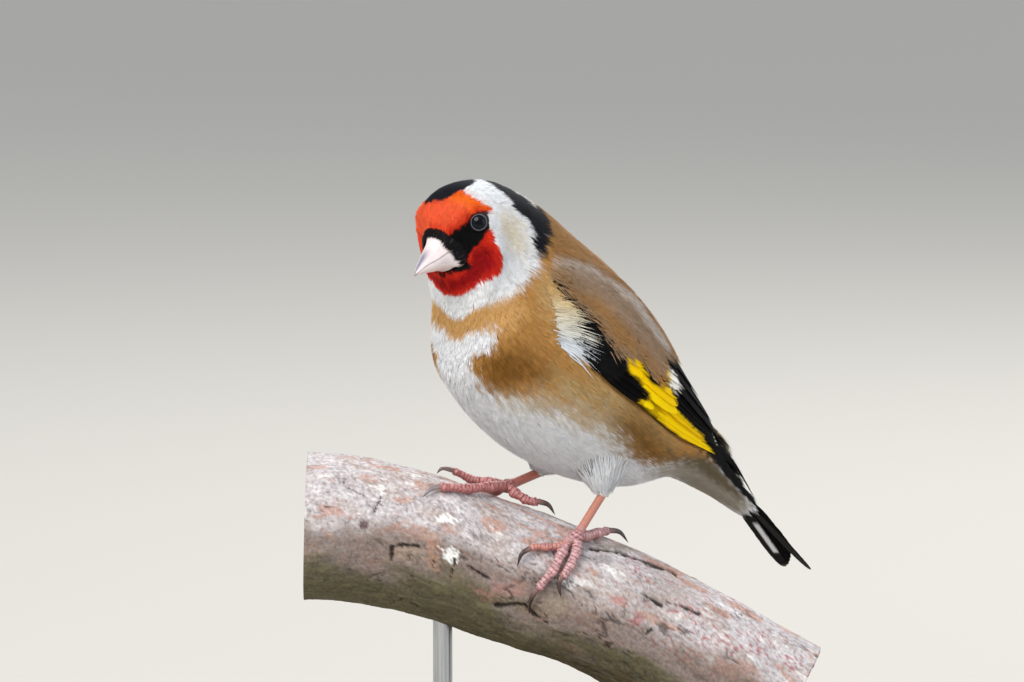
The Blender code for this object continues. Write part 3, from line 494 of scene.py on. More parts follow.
def bodyPlace(pixel):
    # The place along and the angle in degrees, 0 on the back's midline, of a pixel on the bird.
    away = np.linalg.norm(seekPixels - np.asarray(pixel, float), axis=-1) + np.where(seekFacing, 0.0, 1e6)
    at = np.unravel_index(np.argmin(away), away.shape)
    return seekAlong[at], math.degrees(seekAround[at])


allAcross = np.linspace(-1.25, 1.25, 81)
seekBack, seekAcross = np.meshgrid(np.linspace(0.0, wingLength, 241), allAcross, indexing="ij")
wingPixels = onPhoto(onWing(seekBack, seekAcross))


def wingPlace(pixel):
    away = np.linalg.norm(wingPixels - np.asarray(pixel, float), axis=-1)
    at = np.unravel_index(np.argmin(away), away.shape)
    return seekBack[at], seekAcross[at]


def insideDepth(outline, points):
    # How deep points lie inside a closed outline, negative outside it.
    starts = np.asarray(outline, float)
    ends = np.roll(starts, -1, axis=0)
    depth = np.full(len(points), 1e9)
    inside = np.zeros(len(points), bool)
    for start, end in zip(starts, ends):
        edge = end - start
        share = np.clip(((points - start) @ edge) / max(edge @ edge, 1e-12), 0.0, 1.0)
        depth = np.minimum(depth, np.linalg.norm(points - start - share[:, None] * edge, axis=1))
        crosses = (start[1] > points[:, 1]) != (end[1] > points[:, 1])
        at = start[0] + (points[:, 1] - start[1]) * edge[0] / (edge[1] if abs(edge[1]) > 1e-12 else 1e-12)
        inside ^= crosses & (points[:, 0] < at)
    return np.where(inside, depth, -depth)


def roughNoise(points, size, seed):
    # Smooth noise from -1 to 1 by summed waves, for edges and blotches of a size in millimetres.
    source = np.random.default_rng(seed)
    total = np.zeros(len(points))
    for _ in range(7):
        direction = unit(source.normal(size=3)) * source.uniform(0.6, 1.6) * 2.0 * math.pi / size
        total += np.sin(points @ direction + source.uniform(0, 2 * math.pi))
    return total / 3.5


# The markings, from the base colour up, with painted shadows and painted highlight among them. Each has a
# colour, how soft and how ragged its edge is in millimetres, and an outline. A pair over 10 is a pixel of the
# photo, with a third value its angle is given instead, and a pair under 10 is a place along the body and an
# angle down its side.
bodyGround = "#eef0f4"
bodyMarks = (
    ("tawny", "#bb8747", 1.3, 0.9, 1.0, (
        (539, 268), (528, 277), (510, 295), (487, 303), (473, 309), (450, 313), (435, 310),
        (429, 309, 180), (429, 320, 180), (435, 326), (449, 335), (469, 332), (485, 329), (498, 332),
        (495, 346), (482, 355), (470, 360), (472, 373), (482, 387), (501, 398), (522, 402), (550, 410),
        (568, 415), (576, 425), (606, 430), (625, 441), (629, 456), (640, 460), (658, 465), (680, 462),
        (700, 466), (0.93, 50), (0.93, 0), (0.36, 0), (0.375, 40))),
    ("buff band", "#cf9f62", 1.2, 0.7, 0.9, (
        (429, 310, 180), (435, 311), (450, 314), (473, 310), (487, 304), (510, 298), (528, 300),
        (532, 318), (514, 332), (498, 332), (485, 329), (469, 332), (449, 335), (435, 326),
        (429, 320, 180))),
    ("cream shoulder", "#ddb980", 2.2, 0.8, 0.85, (
        (545, 276), (558, 279), (570, 300), (583, 328), (590, 350), (575, 352), (560, 334), (550, 310),
        (541, 290))),
    ("breast patch", "#7f541f", 2.6, 1.0, 0.95, (
        (480, 364), (494, 352), (512, 347), (536, 356), (552, 370), (547, 383), (524, 388), (502, 393),
        (487, 384))),
    ("olive flank", "#b79d6a", 3.0, 1.2, 0.9, (
        (556, 374), (575, 378), (600, 384), (626, 400), (652, 420), (676, 446), (650, 436), (628, 424),
        (604, 412), (575, 402), (556, 392))),
    ("pale flank", "#cdbfa4", 3.0, 1.2, 0.75, (
        (500, 402), (540, 396), (575, 404), (610, 416), (622, 430), (630, 452), (612, 446), (590, 432),
        (556, 416), (522, 410))),
    ("flank patch", "#74501c", 3.0, 1.0, 0.9, (
        (615, 420), (634, 413), (652, 426), (664, 446), (676, 460), (655, 466), (636, 458), (622, 440))),
    ("mantle", "#9e723f", 1.6, 0.8, 1.0, (
        (0.36, 0), (0.365, 25), (0.385, 48), (0.42, 60), (0.46, 50), (0.52, 44), (0.6, 42), (0.8, 34),
        (0.86, 22), (0.86, 0))),
    ("rump", "#c9b28c", 2.0, 0.8, 0.9, ((0.83, 0), (0.83, 25), (0.9, 40), (0.95, 35), (0.95, 0))),
    ("vent wash", "#9b917c", 3.0, 1.0, 0.9, (
        (652, 474), (666, 464), (692, 460), (716, 466), (744, 496), (766, 522), (740, 516), (715, 500),
        (690, 487), (664, 480))),
    # A painted shadow: dark brown along the body under the wing's lower edge.
    ("painted shadow under the wing", "#62543b", 2.6, 0.9, 0.9, (
        (668, 453), (700, 456), (716, 461), (732, 480), (748, 502), (738, 499), (718, 484), (702, 474),
        (682, 467))),
    # A painted shadow: black over the body under and between the folded wing tips.
    ("painted shadow under the wing tips", "#0d0c0d", 0.7, 0.6, 1.0, (
        (0.80, 30), (0.815, 96), (0.83, 98), (0.888, 102), (0.955, 101), (1.1, 97), (1.1, 0), (0.93, 0),
        (0.90, 25))),
    ("white of the head", "#eef0f2", 1.0, 0.5, 1.0, (
        (0.098, 180), (454, 294), (470, 289), (482, 282), (490, 278), (499, 275), (502, 270),
        (502, 261), (499, 254), (495, 243), (492, 234), (488, 226), (486, 216), (488, 212), (490, 208),
        (482, 204), (476, 199), (468, 193), (464, 189), (470, 184), (478, 182), (484, 182), (499, 189),
        (509, 196), (514, 205), (523, 215), (531, 222), (534, 231), (535, 239), (539, 256), (539, 268),
        (528, 277), (510, 295), (487, 303), (473, 309), (450, 313), (435, 310), (429, 309, 180))),
    ("cheek wash", "#eddcb8", 2.4, 0.8, 0.7, (
        (502, 213), (512, 214), (523, 226), (528, 241), (525, 253), (513, 251), (505, 239), (501, 226))),
    ("crescent", "#0f1016", 0.5, 0.4, 1.0, (
        (489, 183), (499, 189), (509, 196), (514, 205), (523, 215), (531, 222), (534, 231), (535, 239),
        (539, 256), (547, 257), (551, 242), (552, 230), (547, 216), (538, 203), (529, 195), (519, 187),
        (519, 187, 0), (489, 183, 0))),
    ("nape spot", "#d9d5cf", 0.4, 0.5, 1.0, (
        (521, 190), (529, 197), (536, 207), (538, 203, 0), (528, 194, 0), (519, 187, 0))),
    ("red face", "#dc2a12", 0.3, 0.35, 1.0, (
        (0.16, 0), (0.17, 12), (0.18, 20), (463, 190), (468, 194), (478, 200), (484, 205), (493, 208),
        (489, 213), (485, 216), (485, 228), (494, 229), (494, 234), (497, 243), (501, 254), (504, 261),
        (503, 271), (499, 277), (490, 280), (482, 284), (470, 291), (454, 297), (0.104, 180),
        (-0.03, 180), (-0.03, 0))),
    # The forehead's orange and scarlet are partly the plumage's own colour and partly painted highlight where
    # light falls.
    ("orange forehead and painted highlight", "#f8700c", 2.4, 0.6, 0.95, (
        (447, 195), (463, 191), (479, 202), (490, 208), (470, 210), (458, 209), (446, 205))),
    ("scarlet brow and painted highlight", "#ff6238", 2.2, 0.6, 0.9, (
        (426, 204), (446, 198), (470, 206), (462, 220), (446, 228), (430, 226), (420, 222))),
    ("crimson cheek", "#98060f", 2.0, 0.6, 0.95, (
        (473, 250), (488, 246), (496, 257), (497, 269), (486, 277), (470, 286), (454, 291), (440, 290),
        (434, 282), (448, 280), (466, 274), (472, 262))),
    ("crown", "#12141c", 0.25, 0.3, 1.0, (
        (0.118, 0), (0.12, 9), (0.138, 14), (0.158, 18), (0.18, 22), (0.203, 21), (0.223, 19),
        (0.245, 16), (0.262, 9), (0.268, 0))),
    ("lores", "#08070a", 0.4, 0.3, 1.0, (
        (0.007, 0), (0.008, 20), (446, 237), (452, 233), (459, 227), (468, 221), (472, 214), (478, 211),
        (487, 212), (489, 220), (489, 228), (488, 233), (484, 239), (474, 248), (469, 254), (468, 261),
        (473, 267), (460, 272), (448, 276), (442, 279), (438, 277), (-0.03, 150), (-0.03, 0))),
)
markScale = (95.0, 0.22)  # millimetres for one along, and for one degree around
# The head is held a little to one side: its crown markings sit this far round from the form's own midline,
# and the red of the forehead reaches lower on the right, in degrees there.
headLean = {"degrees": 6.0, "from": 0.22, "to": 0.34, "sides": (25.0, 75.0)}
lowRed = {
    "degrees": 24.0,
    "from": 0.20,
    "to": 0.30,
    "upper": (6.0, 32.0),
    "lower": (44.0, 66.0),
    "ahead": 0.032,
    "bill": (0.05, 0.11),
}
pastMidline = 16.0


def leaned(along, degrees):
    top = 1.0 - smoothStep(headLean["from"], headLean["to"], along)
    side = 1.0 - smoothStep(*headLean["sides"], np.abs(degrees))
    front = lowRed["degrees"] * (1.0 - smoothStep(lowRed["from"], lowRed["to"], along))
    return np.abs(degrees + np.maximum(headLean["degrees"] * top * side, front * onRight(degrees)))


def onRight(degrees):
    return smoothStep(*lowRed["upper"], -degrees) * (1.0 - smoothStep(*lowRed["lower"], -degrees))


def outlineOf(places):
    # Outlines that end on a midline run on past it, so no edge falls along it.
    outline = []
    for place in places:
        if place[0] < 10:
            along, around = place
        else:
            along, around = bodyPlace(place[:2])
            if len(place) == 3:
                around = place[2]
            elif around < 0:
                around = 0.0 if around > -90 else 180.0
            else:
                around = leaned(along, around)
        if around <= 0:
            around = -pastMidline
        elif around >= 180:
            around = 180.0 + pastMidline
        outline.append((along * markScale[0], around * markScale[1]))
    return outline


def flatPlaces(along, around):
    degrees = np.degrees(around)
    ahead = lowRed["ahead"] * smoothStep(10.0, 24.0, -degrees) * (1.0 - smoothStep(60.0, 80.0, -degrees))
    ahead = ahead * (1.0 - smoothStep(*lowRed["bill"], along))
    return np.stack([(along + ahead) * markScale[0], leaned(along, degrees) * markScale[1]], axis=-1)


def paint(marks, outlines, ground, flat, edge):
    # Lays each mark over the ground colour. edge is the noise that frays their outlines.
    colour = np.tile(tone(ground), (len(flat), 1))
    for (_, hexColour, soft, ragged, strength, _), outline in zip(marks, outlines):
        depth = insideDepth(outline, flat) + ragged * edge
        colour = mix(colour, tone(hexColour), (smoothStep(-soft, soft, depth) * strength)[:, None])
    return colour


def bodyEdge(points):
    return roughNoise(points, 1.6, 5) + 0.6 * roughNoise(points, 0.7, 6)


bodyOutlines = [outlineOf(mark[5]) for mark in bodyMarks]


# On the right, where the head turns away, the red closes in front of the cheek.
farRed = {"colour": "#e2401f", "along": (0.022, 0.032, 0.145, 0.16), "degrees": (62.0, 72.0, 108.0, 118.0)}


def between(value, start, full, fades, end):
    return smoothStep(start, full, value) * (1.0 - smoothStep(fades, end, value))


def bodyTone(along, around, points):
    # The plumage colour at places of the body, linear, with the painted shadows and highlight among its
    # marks.
    colour = paint(bodyMarks, bodyOutlines, bodyGround, flatPlaces(along, around), bodyEdge(points))
    far = between(along, *farRed["along"]) * between(-np.degrees(around), *farRed["degrees"])
    return mix(colour, tone(farRed["colour"]), far[:, None])


# The brown feathers that lie over the wing from the back.
scapularGround = "#997d60"
scapularMarks = (
    ("tawny hem", "#b07c3c", 2.0, 0.7, 0.9, (
        (583, 300), (594, 312), (606, 328), (616, 340), (627, 347), (637, 349), (646, 366), (655, 380),
        (668, 386), (664, 372), (655, 358), (642, 344), (628, 331), (612, 313), (598, 298))),
    ("tawny edge", "#9c7346", 1.2, 0.7, 0.8, (
        (548, 266), (552, 271), (565, 289), (583, 308), (590, 306), (574, 288), (560, 272))),
    ("grey middle", "#a8917e", 1.8, 0.6, 0.7, (
        (556, 264), (580, 270), (600, 284), (618, 302), (634, 322), (650, 344), (662, 366), (667, 380),
        (658, 374), (645, 352), (628, 332), (610, 310), (590, 290), (570, 274))),
    ("pale ridge", "#cbbfb4", 0.7, 0.35, 0.8, (
        (552, 259), (574, 261), (590, 268), (605, 278), (618, 287), (627, 294), (637, 304), (645, 316),
        (653, 327), (660, 337), (668, 350), (665, 353), (656, 342), (648, 330), (640, 319), (631, 308),
        (620, 297), (606, 285), (589, 275), (573, 267), (556, 265))),
    ("mantle", "#966a3a", 1.0, 0.7, 1.0, (
        (0.36, 0), (0.375, 62), (552, 258), (574, 260), (590, 267), (605, 277), (618, 286), (627, 293),
        (637, 303), (646, 315), (654, 326), (661, 336), (669, 350), (0.9, 30), (0.9, 0))),
    ("mantle streak", "#7b5427", 1.0, 0.9, 0.8, (
        (0.38, 0), (0.40, 40), (575, 250), (595, 260), (614, 276), (628, 291), (640, 307), (0.60, 34),
        (0.72, 20), (0.8, 0))),
    ("finger end", "#c5821f", 1.0, 0.4, 0.9, (
        (656, 379), (664, 378), (671, 384), (668, 391), (659, 391))),
)
scapularOutlines = [outlineOf(mark[5]) for mark in scapularMarks]


def scapularTone(along, around, points):
    flat = flatPlaces(along, around)
    return paint(scapularMarks, scapularOutlines, scapularGround, flat, bodyEdge(points))


wingGround = "#060506"
wingMarks = (
    ("yellow", "#ffd000", 0.35, 0.15, 1.0, (
        (628, 343), (637, 354), (646, 372), (654, 385), (665, 388), (671, 387), (675, 394), (678, 410),
        (687, 419), (704, 435), (716, 453), (715, 457), (701, 451), (679, 434), (657, 416), (638, 400),
        (649, 402), (649, 395), (643, 381), (630, 372), (625, 357))),
    ("yellow streak", "#f5c500", 0.4, 0.2, 1.0, (
        (655, 344), (661, 352), (669, 369), (672, 380), (667, 379), (662, 362), (656, 351))),
    ("white spot", "#f3efe4", 0.5, 0.3, 1.0, (
        (669, 368), (678, 376), (681, 385), (677, 393), (671, 387))),
)
wingMarkScale = 8.0


wingOutlines = [
    np.array([wingPlace(place) for place in mark[5]]) * (1.0, wingMarkScale) for mark in wingMarks
]


def wingTone(back, across, points):
    flat = np.stack([back, across * wingMarkScale], axis=-1)
    return paint(wingMarks, wingOutlines, wingGround, flat, roughNoise(points, 1.2, 15))


say("markings placed")


# Contour feather: keratin barbs, loosely hooked. Matt with a faint sheen along the barbs, and the vertex
# tint carries the markings, painted shade and painted highlight. Its mottle is about a feather wide.
contourLook = {"mottle": 1.111, "reads": (0.3, 0.7), "gives": (0.93, 1.06)}


def contourFeather(look):
    material, tree, shader = newMaterial(
        "keratin contour feather", 0.66, 0.12, Sheen_Weight=0.04, Sheen_Roughness=0.5,
        Subsurface_Weight=0.06,
    )
    scatterUnder(shader, 0.7, 0.5, 0.4)
    mottle = objectNoise(tree, look["mottle"], Detail=2.0)
    shadeTint(tree, shader, mottle, look["reads"], look["gives"])
    return material


# Skin under the plumage: the same tints, matt, darker where the down shows between feathers.
def downySkin():
    material, tree, shader = newMaterial("downy skin", 0.9, 0.1)
    tint = addNode(tree, "Attribute", {"attribute_name": "tint"})
    tree.links.new(tint.outputs["Color"], shader.inputs["Base Color"])
    return material


featherMaterial = contourFeather(contourLook)
skinMaterial = downySkin()

# How deep the coat is over the skin along the body, and how long its feathers are.
coatDepthAt = (
    (0.0, 0.25), (0.06, 0.45), (0.2, 0.6), (0.34, 0.9), (0.5, 1.2), (0.8, 1.2), (0.93, 0.8), (1.0, 0.5)
)


def coatDepth(along):
    return curve(*zip(*coatDepthAt), along)[:, 0]


def makeSkin():
    rows, sides = 200, 140
    along = np.repeat(np.linspace(0.0, 1.0, rows), sides)
    around = np.tile(np.linspace(-math.pi, math.pi, sides, endpoint=False), rows)
    depth = coatDepth(along)
    points = bodyPoint(along, around, -depth)
    tints = bodyTone(along, around, bodyPoint(along, around, 0.0)) * 0.6
    whole, faces = loftTube(points.reshape(rows, sides, 3))
    tints = np.concatenate([tints, tints[:1], tints[-1:]])
    bake = np.stack([around / (2 * math.pi) + 0.5, along], axis=-1)
    bake = np.concatenate([bake, [[0.5, 0.0], [0.5, 1.0]]])
    return meshPiece("skin", whole, faces, skinMaterial, tints, bake)


skin = makeSkin()
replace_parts(skin, "head", "neck", "torso")
say("skin")


# The eyes: a dark ball under a clear wet cornea, in a thin ring of bare grey skin.
eyeLook = {"along": 0.128, "around": 62.0, "radius": 2.6, "sink": 2.05, "clear": 1.86}


def eyeFrame(side):
    # The eye's centre and the way it looks, mirrored before the head turns.
    along, around = eyeLook["along"], math.radians(eyeLook["around"])
    place = onForm(along, around)[0]
    normal = formDirections(along, around)[2][0]
    middle = turnHead(place, -1.0)
    outwardWay = (turnHead(place + normal, -1.0) - middle) * (side, 1.0, 1.0)
    centre = (middle * (side, 1.0, 1.0)) - outwardWay * eyeLook["sink"]
    return turnHead(centre, 1.0), turnHead(centre + outwardWay, 1.0) - turnHead(centre, 1.0)


bladeFaces = np.array(
    [
        (0, 2, 1), (0, 1, 4), (0, 4, 3), (1, 2, 5), (1, 5, 4), (2, 0, 3), (2, 3, 5), (3, 4, 6), (4, 5, 6),
        (5, 3, 6),
    ],
)


bladeLook = {"taper": 0.8, "edgeShade": 0.9, "roll": 0.4}


def bladePiece(name, stations, normals, half, thickness, tints, bakeAt):
    # Closed tapered blades. stations: n x 3 x 3 middle line points, normals: n x 3 x 3 unit vectors, half:
    # half widths at the roots, thickness: of all or each, tints: n x 3 x 3, bakeAt: n x 2 the root's place on
    # the unwrap. Roll is how round the shading makes them.
    stations, normals = np.asarray(stations), np.asarray(normals)
    count = len(stations)
    taper, roll = bladeLook["taper"], bladeLook["roll"]
    forward = unit(np.gradient(stations, axis=1))
    across = unit(np.cross(normals, forward))
    halfWidths = np.stack([half, half * taper], axis=-1)
    thickness = np.broadcast_to(thickness, count)
    points = np.empty((count, 7, 3))
    for station in (0, 1):
        half = halfWidths[:, station, None]
        rise = normals[:, station] * (thickness[:, None] if station == 0 else thickness[:, None] * taper)
        middle = stations[:, station]
        points[:, station * 3] = middle - across[:, station] * half
        points[:, station * 3 + 1] = middle + across[:, station] * half
        points[:, station * 3 + 2] = middle + rise
    points[:, 6] = stations[:, 2]
    colours = np.empty((count, 7, 3))
    colours[:, 0:3] = tints[:, None, 0]
    colours[:, 3:6] = tints[:, None, 1]
    colours[:, 6] = tints[:, 2]
    colours[:, (0, 1, 3, 4)] *= bladeLook["edgeShade"]
    shading = np.empty((count, 7, 3))
    lying = unit(0.5 * normals + 0.5 * unit(np.cross(forward, across)))
    for station in (0, 1):
        shading[:, station * 3] = lying[:, station] - roll * across[:, station]
        shading[:, station * 3 + 1] = lying[:, station] + roll * across[:, station]
        shading[:, station * 3 + 2] = lying[:, station]
    shading[:, 6] = lying[:, 2]
    patch = np.array([(-1, 0), (1, 0), (0, 0.4), (-1, 1), (1, 1), (0, 1.2), (0, 2)]) * (0.0006, 0.0012)
    bake = bakeAt[:, None, :] + patch[None]
    faces = (bladeFaces[None] + 7 * np.arange(count)[:, None, None]).reshape(-1, 3)
    flat = points.reshape(-1, 3)
    colours, shading = colours.reshape(-1, 3), shading.reshape(-1, 3)
    return meshPiece(
        name, flat, outward(flat, faces), featherMaterial, colours, bake.reshape(-1, 2), shading
    )


# The contour feathers by tract: where it starts and ends along the body, then spacing, length and width in
# millimetres, how many blades make one feather, how far the tips lift off, how far a feather's blades part,
# and how wide a blade's root is.
tractKeys = ("along", "spacing", "length", "width", "barbs", "flare", "spread", "root")
tracts = {
    "face": ((0.004, 0.115), 0.40, 1.25, 0.42, 4, 0.10, 0.9, 0.42),
    "crown": ((0.115, 0.235), 0.50, 1.9, 0.55, 5, 0.08, 0.9, 0.50),
    "nape": ((0.235, 0.345), 0.60, 2.6, 0.7, 6, 0.10, 0.9, 0.55),
    "throat": ((0.345, 0.435), 0.74, 3.6, 0.9, 7, 0.12, 0.9, 0.55),
    "breast": ((0.435, 0.54), 0.84, 4.6, 1.1, 9, 0.12, 0.9, 0.58),
    "belly": ((0.54, 0.67), 0.92, 5.4, 1.2, 9, 0.14, 0.95, 0.58),
    "vent": ((0.67, 0.82), 0.92, 5.2, 1.2, 8, 0.14, 0.95, 0.6),
    "tail_coverts": ((0.82, 0.985), 0.72, 4.6, 1.0, 7, 0.05, 0.8, 0.6),
}
tracts = {name: dict(zip(tractKeys, row)) for name, row in tracts.items()}
density = 1.0
# Where the feathers stand higher, over the brow and round the eyes, and how deep they dive under the wing.
coatRises = {
    "brow": {"along": 0.076, "degrees": 44.0, "reach": (0.050, 16.0), "rise": 1.25},
    "eye": {"away": 2.85, "reach": 0.75, "rise": 0.30},
    "under wing": 1.4,
    "over the tail": {"along": (0.84, 0.88, 0.94, 0.975), "degrees": (45.0, 80.0), "rise": 1.2},
}


def featherRoots(look):
    # Roots in staggered rows, evenly by the surface's own length, as feathers grow.
    spacing = look["spacing"] * density
    start, end = look["along"]
    around = np.linspace(-math.pi, math.pi, 181)
    places = []
    along = start
    rowIndex = 0
    while along < end:
        ahead, sideways, _ = formDirections(np.full(181, along), around)
        reach = np.linalg.norm(ahead, axis=1)
        gaps = np.linalg.norm(sideways, axis=1) * (around[1] - around[0])
        rowStep = 0.87 * spacing / reach.max()
        length = np.concatenate([[0.0], np.cumsum((gaps[1:] + gaps[:-1]) / 2.0)])
        count = max(int(length[-1] / spacing), 6)
        at = (np.arange(count) + 0.5 * (rowIndex % 2)) / count * length[-1]
        at = at + draw.uniform(-0.28, 0.28, count) * spacing
        angle = np.interp(at % length[-1], length, around)
        keep = draw.random(count) < np.interp(angle, around, reach) / reach.max()
        row = np.full(count, along) + draw.uniform(-0.35, 0.35, count) * rowStep
        places.append(np.stack([row, angle], axis=-1)[keep])
        along += rowStep
        rowIndex += 1
    return np.concatenate(places)


def wingEdges(along, around):
    # How far a place lies above the wing's lower edge and below its upper edge, in degrees.
    places = [row[0] for row in wingOnBody] + [0.88, 0.96]
    lower = np.interp(along, places, [row[1] for row in wingOnBody] + [90.0, 88.0])
    upper = np.interp(along, places, [row[3] for row in wingOnBody] + [14.0, 0.0])
    angle = np.abs(np.degrees(around))
    return lower - angle, angle - upper


def underWing(along, around):
    # How far inside the wing's footprint a place lies, in degrees, less than zero outside it.
    return np.where(along < 0.425, -1.0, np.minimum(*wingEdges(along, around)))


eyeSteps = [
    np.linalg.norm(step) for step in formDirections(eyeLook["along"], math.radians(eyeLook["around"]))[:2]
]


def roundEye(along, around):
    # How far places are from the middle of the nearer eye in millimetres, and how feathers turn to pass it.
    forward = (along - eyeLook["along"]) * eyeSteps[0]
    sideways = (np.abs(around) - math.radians(eyeLook["around"])) * eyeSteps[1]
    distance = np.hypot(forward, sideways)
    ring = eyeLook["clear"]
    angle = np.arctan2(sideways, forward)
    pull = (ring / np.maximum(distance, ring)) ** 2
    bend = np.arctan2(-pull * np.sin(2.0 * angle), 1.0 - pull * np.cos(2.0 * angle) + 1e-6)
    return distance, np.where(distance < 5.0 + ring, bend, 0.0) * np.sign(around)


def coatRise(along, around):
    # Millimetres that feather tips stand over the form, past the coat's own lie.
    brow = coatRises["brow"]
    degrees = np.abs(np.degrees(around))
    reachAlong, reachAround = brow["reach"]
    fall = np.exp(-(((along - brow["along"]) / reachAlong) ** 4))
    fall = fall * np.exp(-(((degrees - brow["degrees"]) / reachAround) ** 2))
    away, _ = roundEye(along, around)
    eye = coatRises["eye"]
    rim = eye["rise"] * np.exp(-(((away - eye["away"]) / eye["reach"]) ** 2))
    low, high = wingEdges(along, around)
    under = smoothStep(-3.5, 0.5, low) * smoothStep(-1.0, 3.0, high) * smoothStep(0.43, 0.48, along)
    under = under * (1.0 - smoothStep(0.80, 0.86, along))
    over = coatRises["over the tail"]
    tail = over["rise"] * between(along, *over["along"]) * (1.0 - smoothStep(*over["degrees"], degrees))
    return brow["rise"] * fall * smoothStep(1.9, 3.2, away) + rim + tail - coatRises["under wing"] * under


# A blade's stations: share of its length, how far to its side, how deep in the coat and how much it rises.
bladeStations = ((0.0, 0.25, -1.05, 0.45), (0.5, 0.8, -0.38, 0.85), (1.0, None, 0.0, 1.0))


def coatBlades(roots, look, heading, rise):
    # Splits feathers into barbs and gives each blade's stations on the form.
    count = len(roots)
    barbs = look["barbs"]
    along = np.repeat(roots[:, 0], barbs)
    around = np.repeat(roots[:, 1], barbs)
    size = np.repeat(draw.uniform(0.82, 1.18, count), barbs)
    turn = np.repeat(heading * np.sign(roots[:, 1]) + draw.normal(0.0, 0.10, count), barbs)
    turn = turn + draw.normal(0.0, 0.05, count * barbs)
    side = np.tile(np.linspace(-1.0, 1.0, barbs), count) + draw.normal(0.0, 0.10, count * barbs)
    length = look["length"] * size * (1.0 - 0.22 * side * side) * draw.uniform(0.85, 1.1, count * barbs)
    width = look["width"] * size
    ahead, sideways, _ = formDirections(along, around)
    perAlong = np.linalg.norm(ahead, axis=1)
    perAround = np.linalg.norm(sideways, axis=1)
    away, bend = roundEye(along, around)
    away = away - eyeLook["clear"]
    turn = turn + bend
    length = np.minimum(length, np.maximum(np.where(np.cos(bend) < 0.98, away, away + 9.0), 0.35) + 0.2)
    depth = coatDepth(along)
    tipLift = look["flare"] * np.repeat(draw.uniform(-0.4, 1.2, count), barbs)
    stations = []
    normals = []
    shown = None
    for share, spread, lift, risen in bladeStations:
        forward = length * share + (0.10 * length * np.abs(side) if share == 0.0 else 0.0)
        offset = side * width * (spread or look["spread"])
        stepAlong = (forward * np.cos(turn) - offset * np.sin(turn)) / perAlong
        stepAround = (forward * np.sin(turn) + offset * np.cos(turn)) / perAround
        height = depth * lift + (tipLift if share == 1.0 else 0.3 * tipLift if share == 0.5 else 0.0)
        a = along + stepAlong
        b = around + stepAround
        height = height + risen * rise(a, b)
        normal = formDirections(a, b)[2]
        stations.append(onForm(a, b) + normal * height[:, None])
        normals.append(normal)
        if share == 1.0:
            shown = (mix(along, a, 0.8), mix(around, b, 0.8))
    half = look["root"] * width / barbs * bladeOverlap
    return shown, np.stack(stations, axis=1), np.stack(normals, axis=1), half, bladeThickness * size


# How much wider blades are than their share of a feather, how thick, and their shades from root to tip.
bladeOverlap = 1.9
bladeThickness = 0.06
# The stations darken each blade's root as painted shade deep in the coat and lighten its tip as painted
# light.
coatShades = {"feather": 0.045, "blade": 0.055, "stations": (0.84, 0.97, 1.06)}


def coatTints(colour, count, barbs):
    feather = np.repeat(1.0 + draw.normal(0.0, coatShades["feather"], count), barbs)
    blade = 1.0 + draw.normal(0.0, coatShades["blade"], count * barbs)
    shade = (feather * blade)[:, None]
    return np.stack([colour * shade * share for share in coatShades["stations"]], axis=1)


def makeCoat(name, look, roots, heading, rise, toneOf):
    count, barbs = len(roots), look["barbs"]
    shown, stations, normals, half, thickness = coatBlades(roots, look, heading, rise)
    tints = coatTints(toneOf(*shown, onForm(*shown)), count, barbs)
    bake = np.repeat(np.stack([roots[:, 1] / (2 * math.pi) + 0.5, roots[:, 0]], axis=-1), barbs, axis=0)
    bladePiece("coat_" + name, stations, normals, half, thickness, tints, bake)
    say("%s: %d feathers, %d triangles" % (name, count, count * barbs * len(bladeFaces)))


def makeTract(name, look):
    roots = featherRoots(look)
    roots = roots[underWing(roots[:, 0], roots[:, 1]) < 5.0]
    roots = roots[roundEye(*roots.T)[0] > eyeLook["clear"] + 0.05]
    makeCoat(name, look, roots, np.zeros(len(roots)), coatRise, bodyTone)


for name, look in tracts.items():
    makeTract(name, look)

# Feathers that lie over the folded wing: the black lesser coverts of its bend, and the brown scapulars that
# reach back over it from the shoulder. The outline is in pixels of the photo.
wingTracts = {
    "lesser_coverts": dict(
        along=(0.39, 0.66),
        spacing=0.72, length=3.0, width=0.9, barbs=6, flare=0.10, spread=0.9, root=0.6, lift=0.85,
        heading=0.0,
        outline=(
            (546, 262), (553, 280), (561, 300), (569, 325), (580, 350), (592, 364), (606, 372), (616, 368),
            (618, 350), (608, 338), (592, 318), (574, 300), (560, 275),
        ),
    ),
    "scapulars": dict(
        along=(0.38, 0.665),
        spacing=0.76, length=4.6, width=1.1, barbs=7, flare=0.06, spread=0.95, root=0.6, lift=1.05,
        heading=0.14,
        outline=(
            (544, 262), (549, 270), (560, 284), (573, 300), (588, 314), (599, 330), (611, 343), (622, 349),
            (630, 346), (638, 353), (646, 366), (653, 375), (658, 374), (656, 358), (657, 345),
            (0.665, 36), (0.68, 0), (0.36, 0),
        ),
    ),
}


def overWing(lift):
    def rise(along, around):
        low, high = wingEdges(along, around)
        onto = smoothStep(-7.0, 3.0, high) * smoothStep(0.385, 0.435, along)
        hem = 1.0 - 0.4 * smoothStep(2.0, -3.0, low)
        return lift * onto * hem * (1.0 - 0.8 * smoothStep(0.60, 0.72, along))

    return rise


def makeWingTract(name, look, toneOf):
    outline = outlineOf(look["outline"])
    roots = featherRoots(look)
    roots = roots[insideDepth(outline, flatPlaces(*roots.T)) > 0.0]
    roots = roots[wingEdges(*roots.T)[1] > -12.0]
    heading = np.full(len(roots), look["heading"])
    makeCoat(name, look, roots, heading, overWing(look["lift"]), toneOf)


def covertTone(along, around, points):
    blotch = 1.0 + 0.5 * roughNoise(points, 2.0, 31)
    return tone("#070607") * blotch[:, None] ** 2


makeWingTract("lesser_coverts", wingTracts["lesser_coverts"], covertTone)
makeWingTract("scapulars", wingTracts["scapulars"], scapularTone)

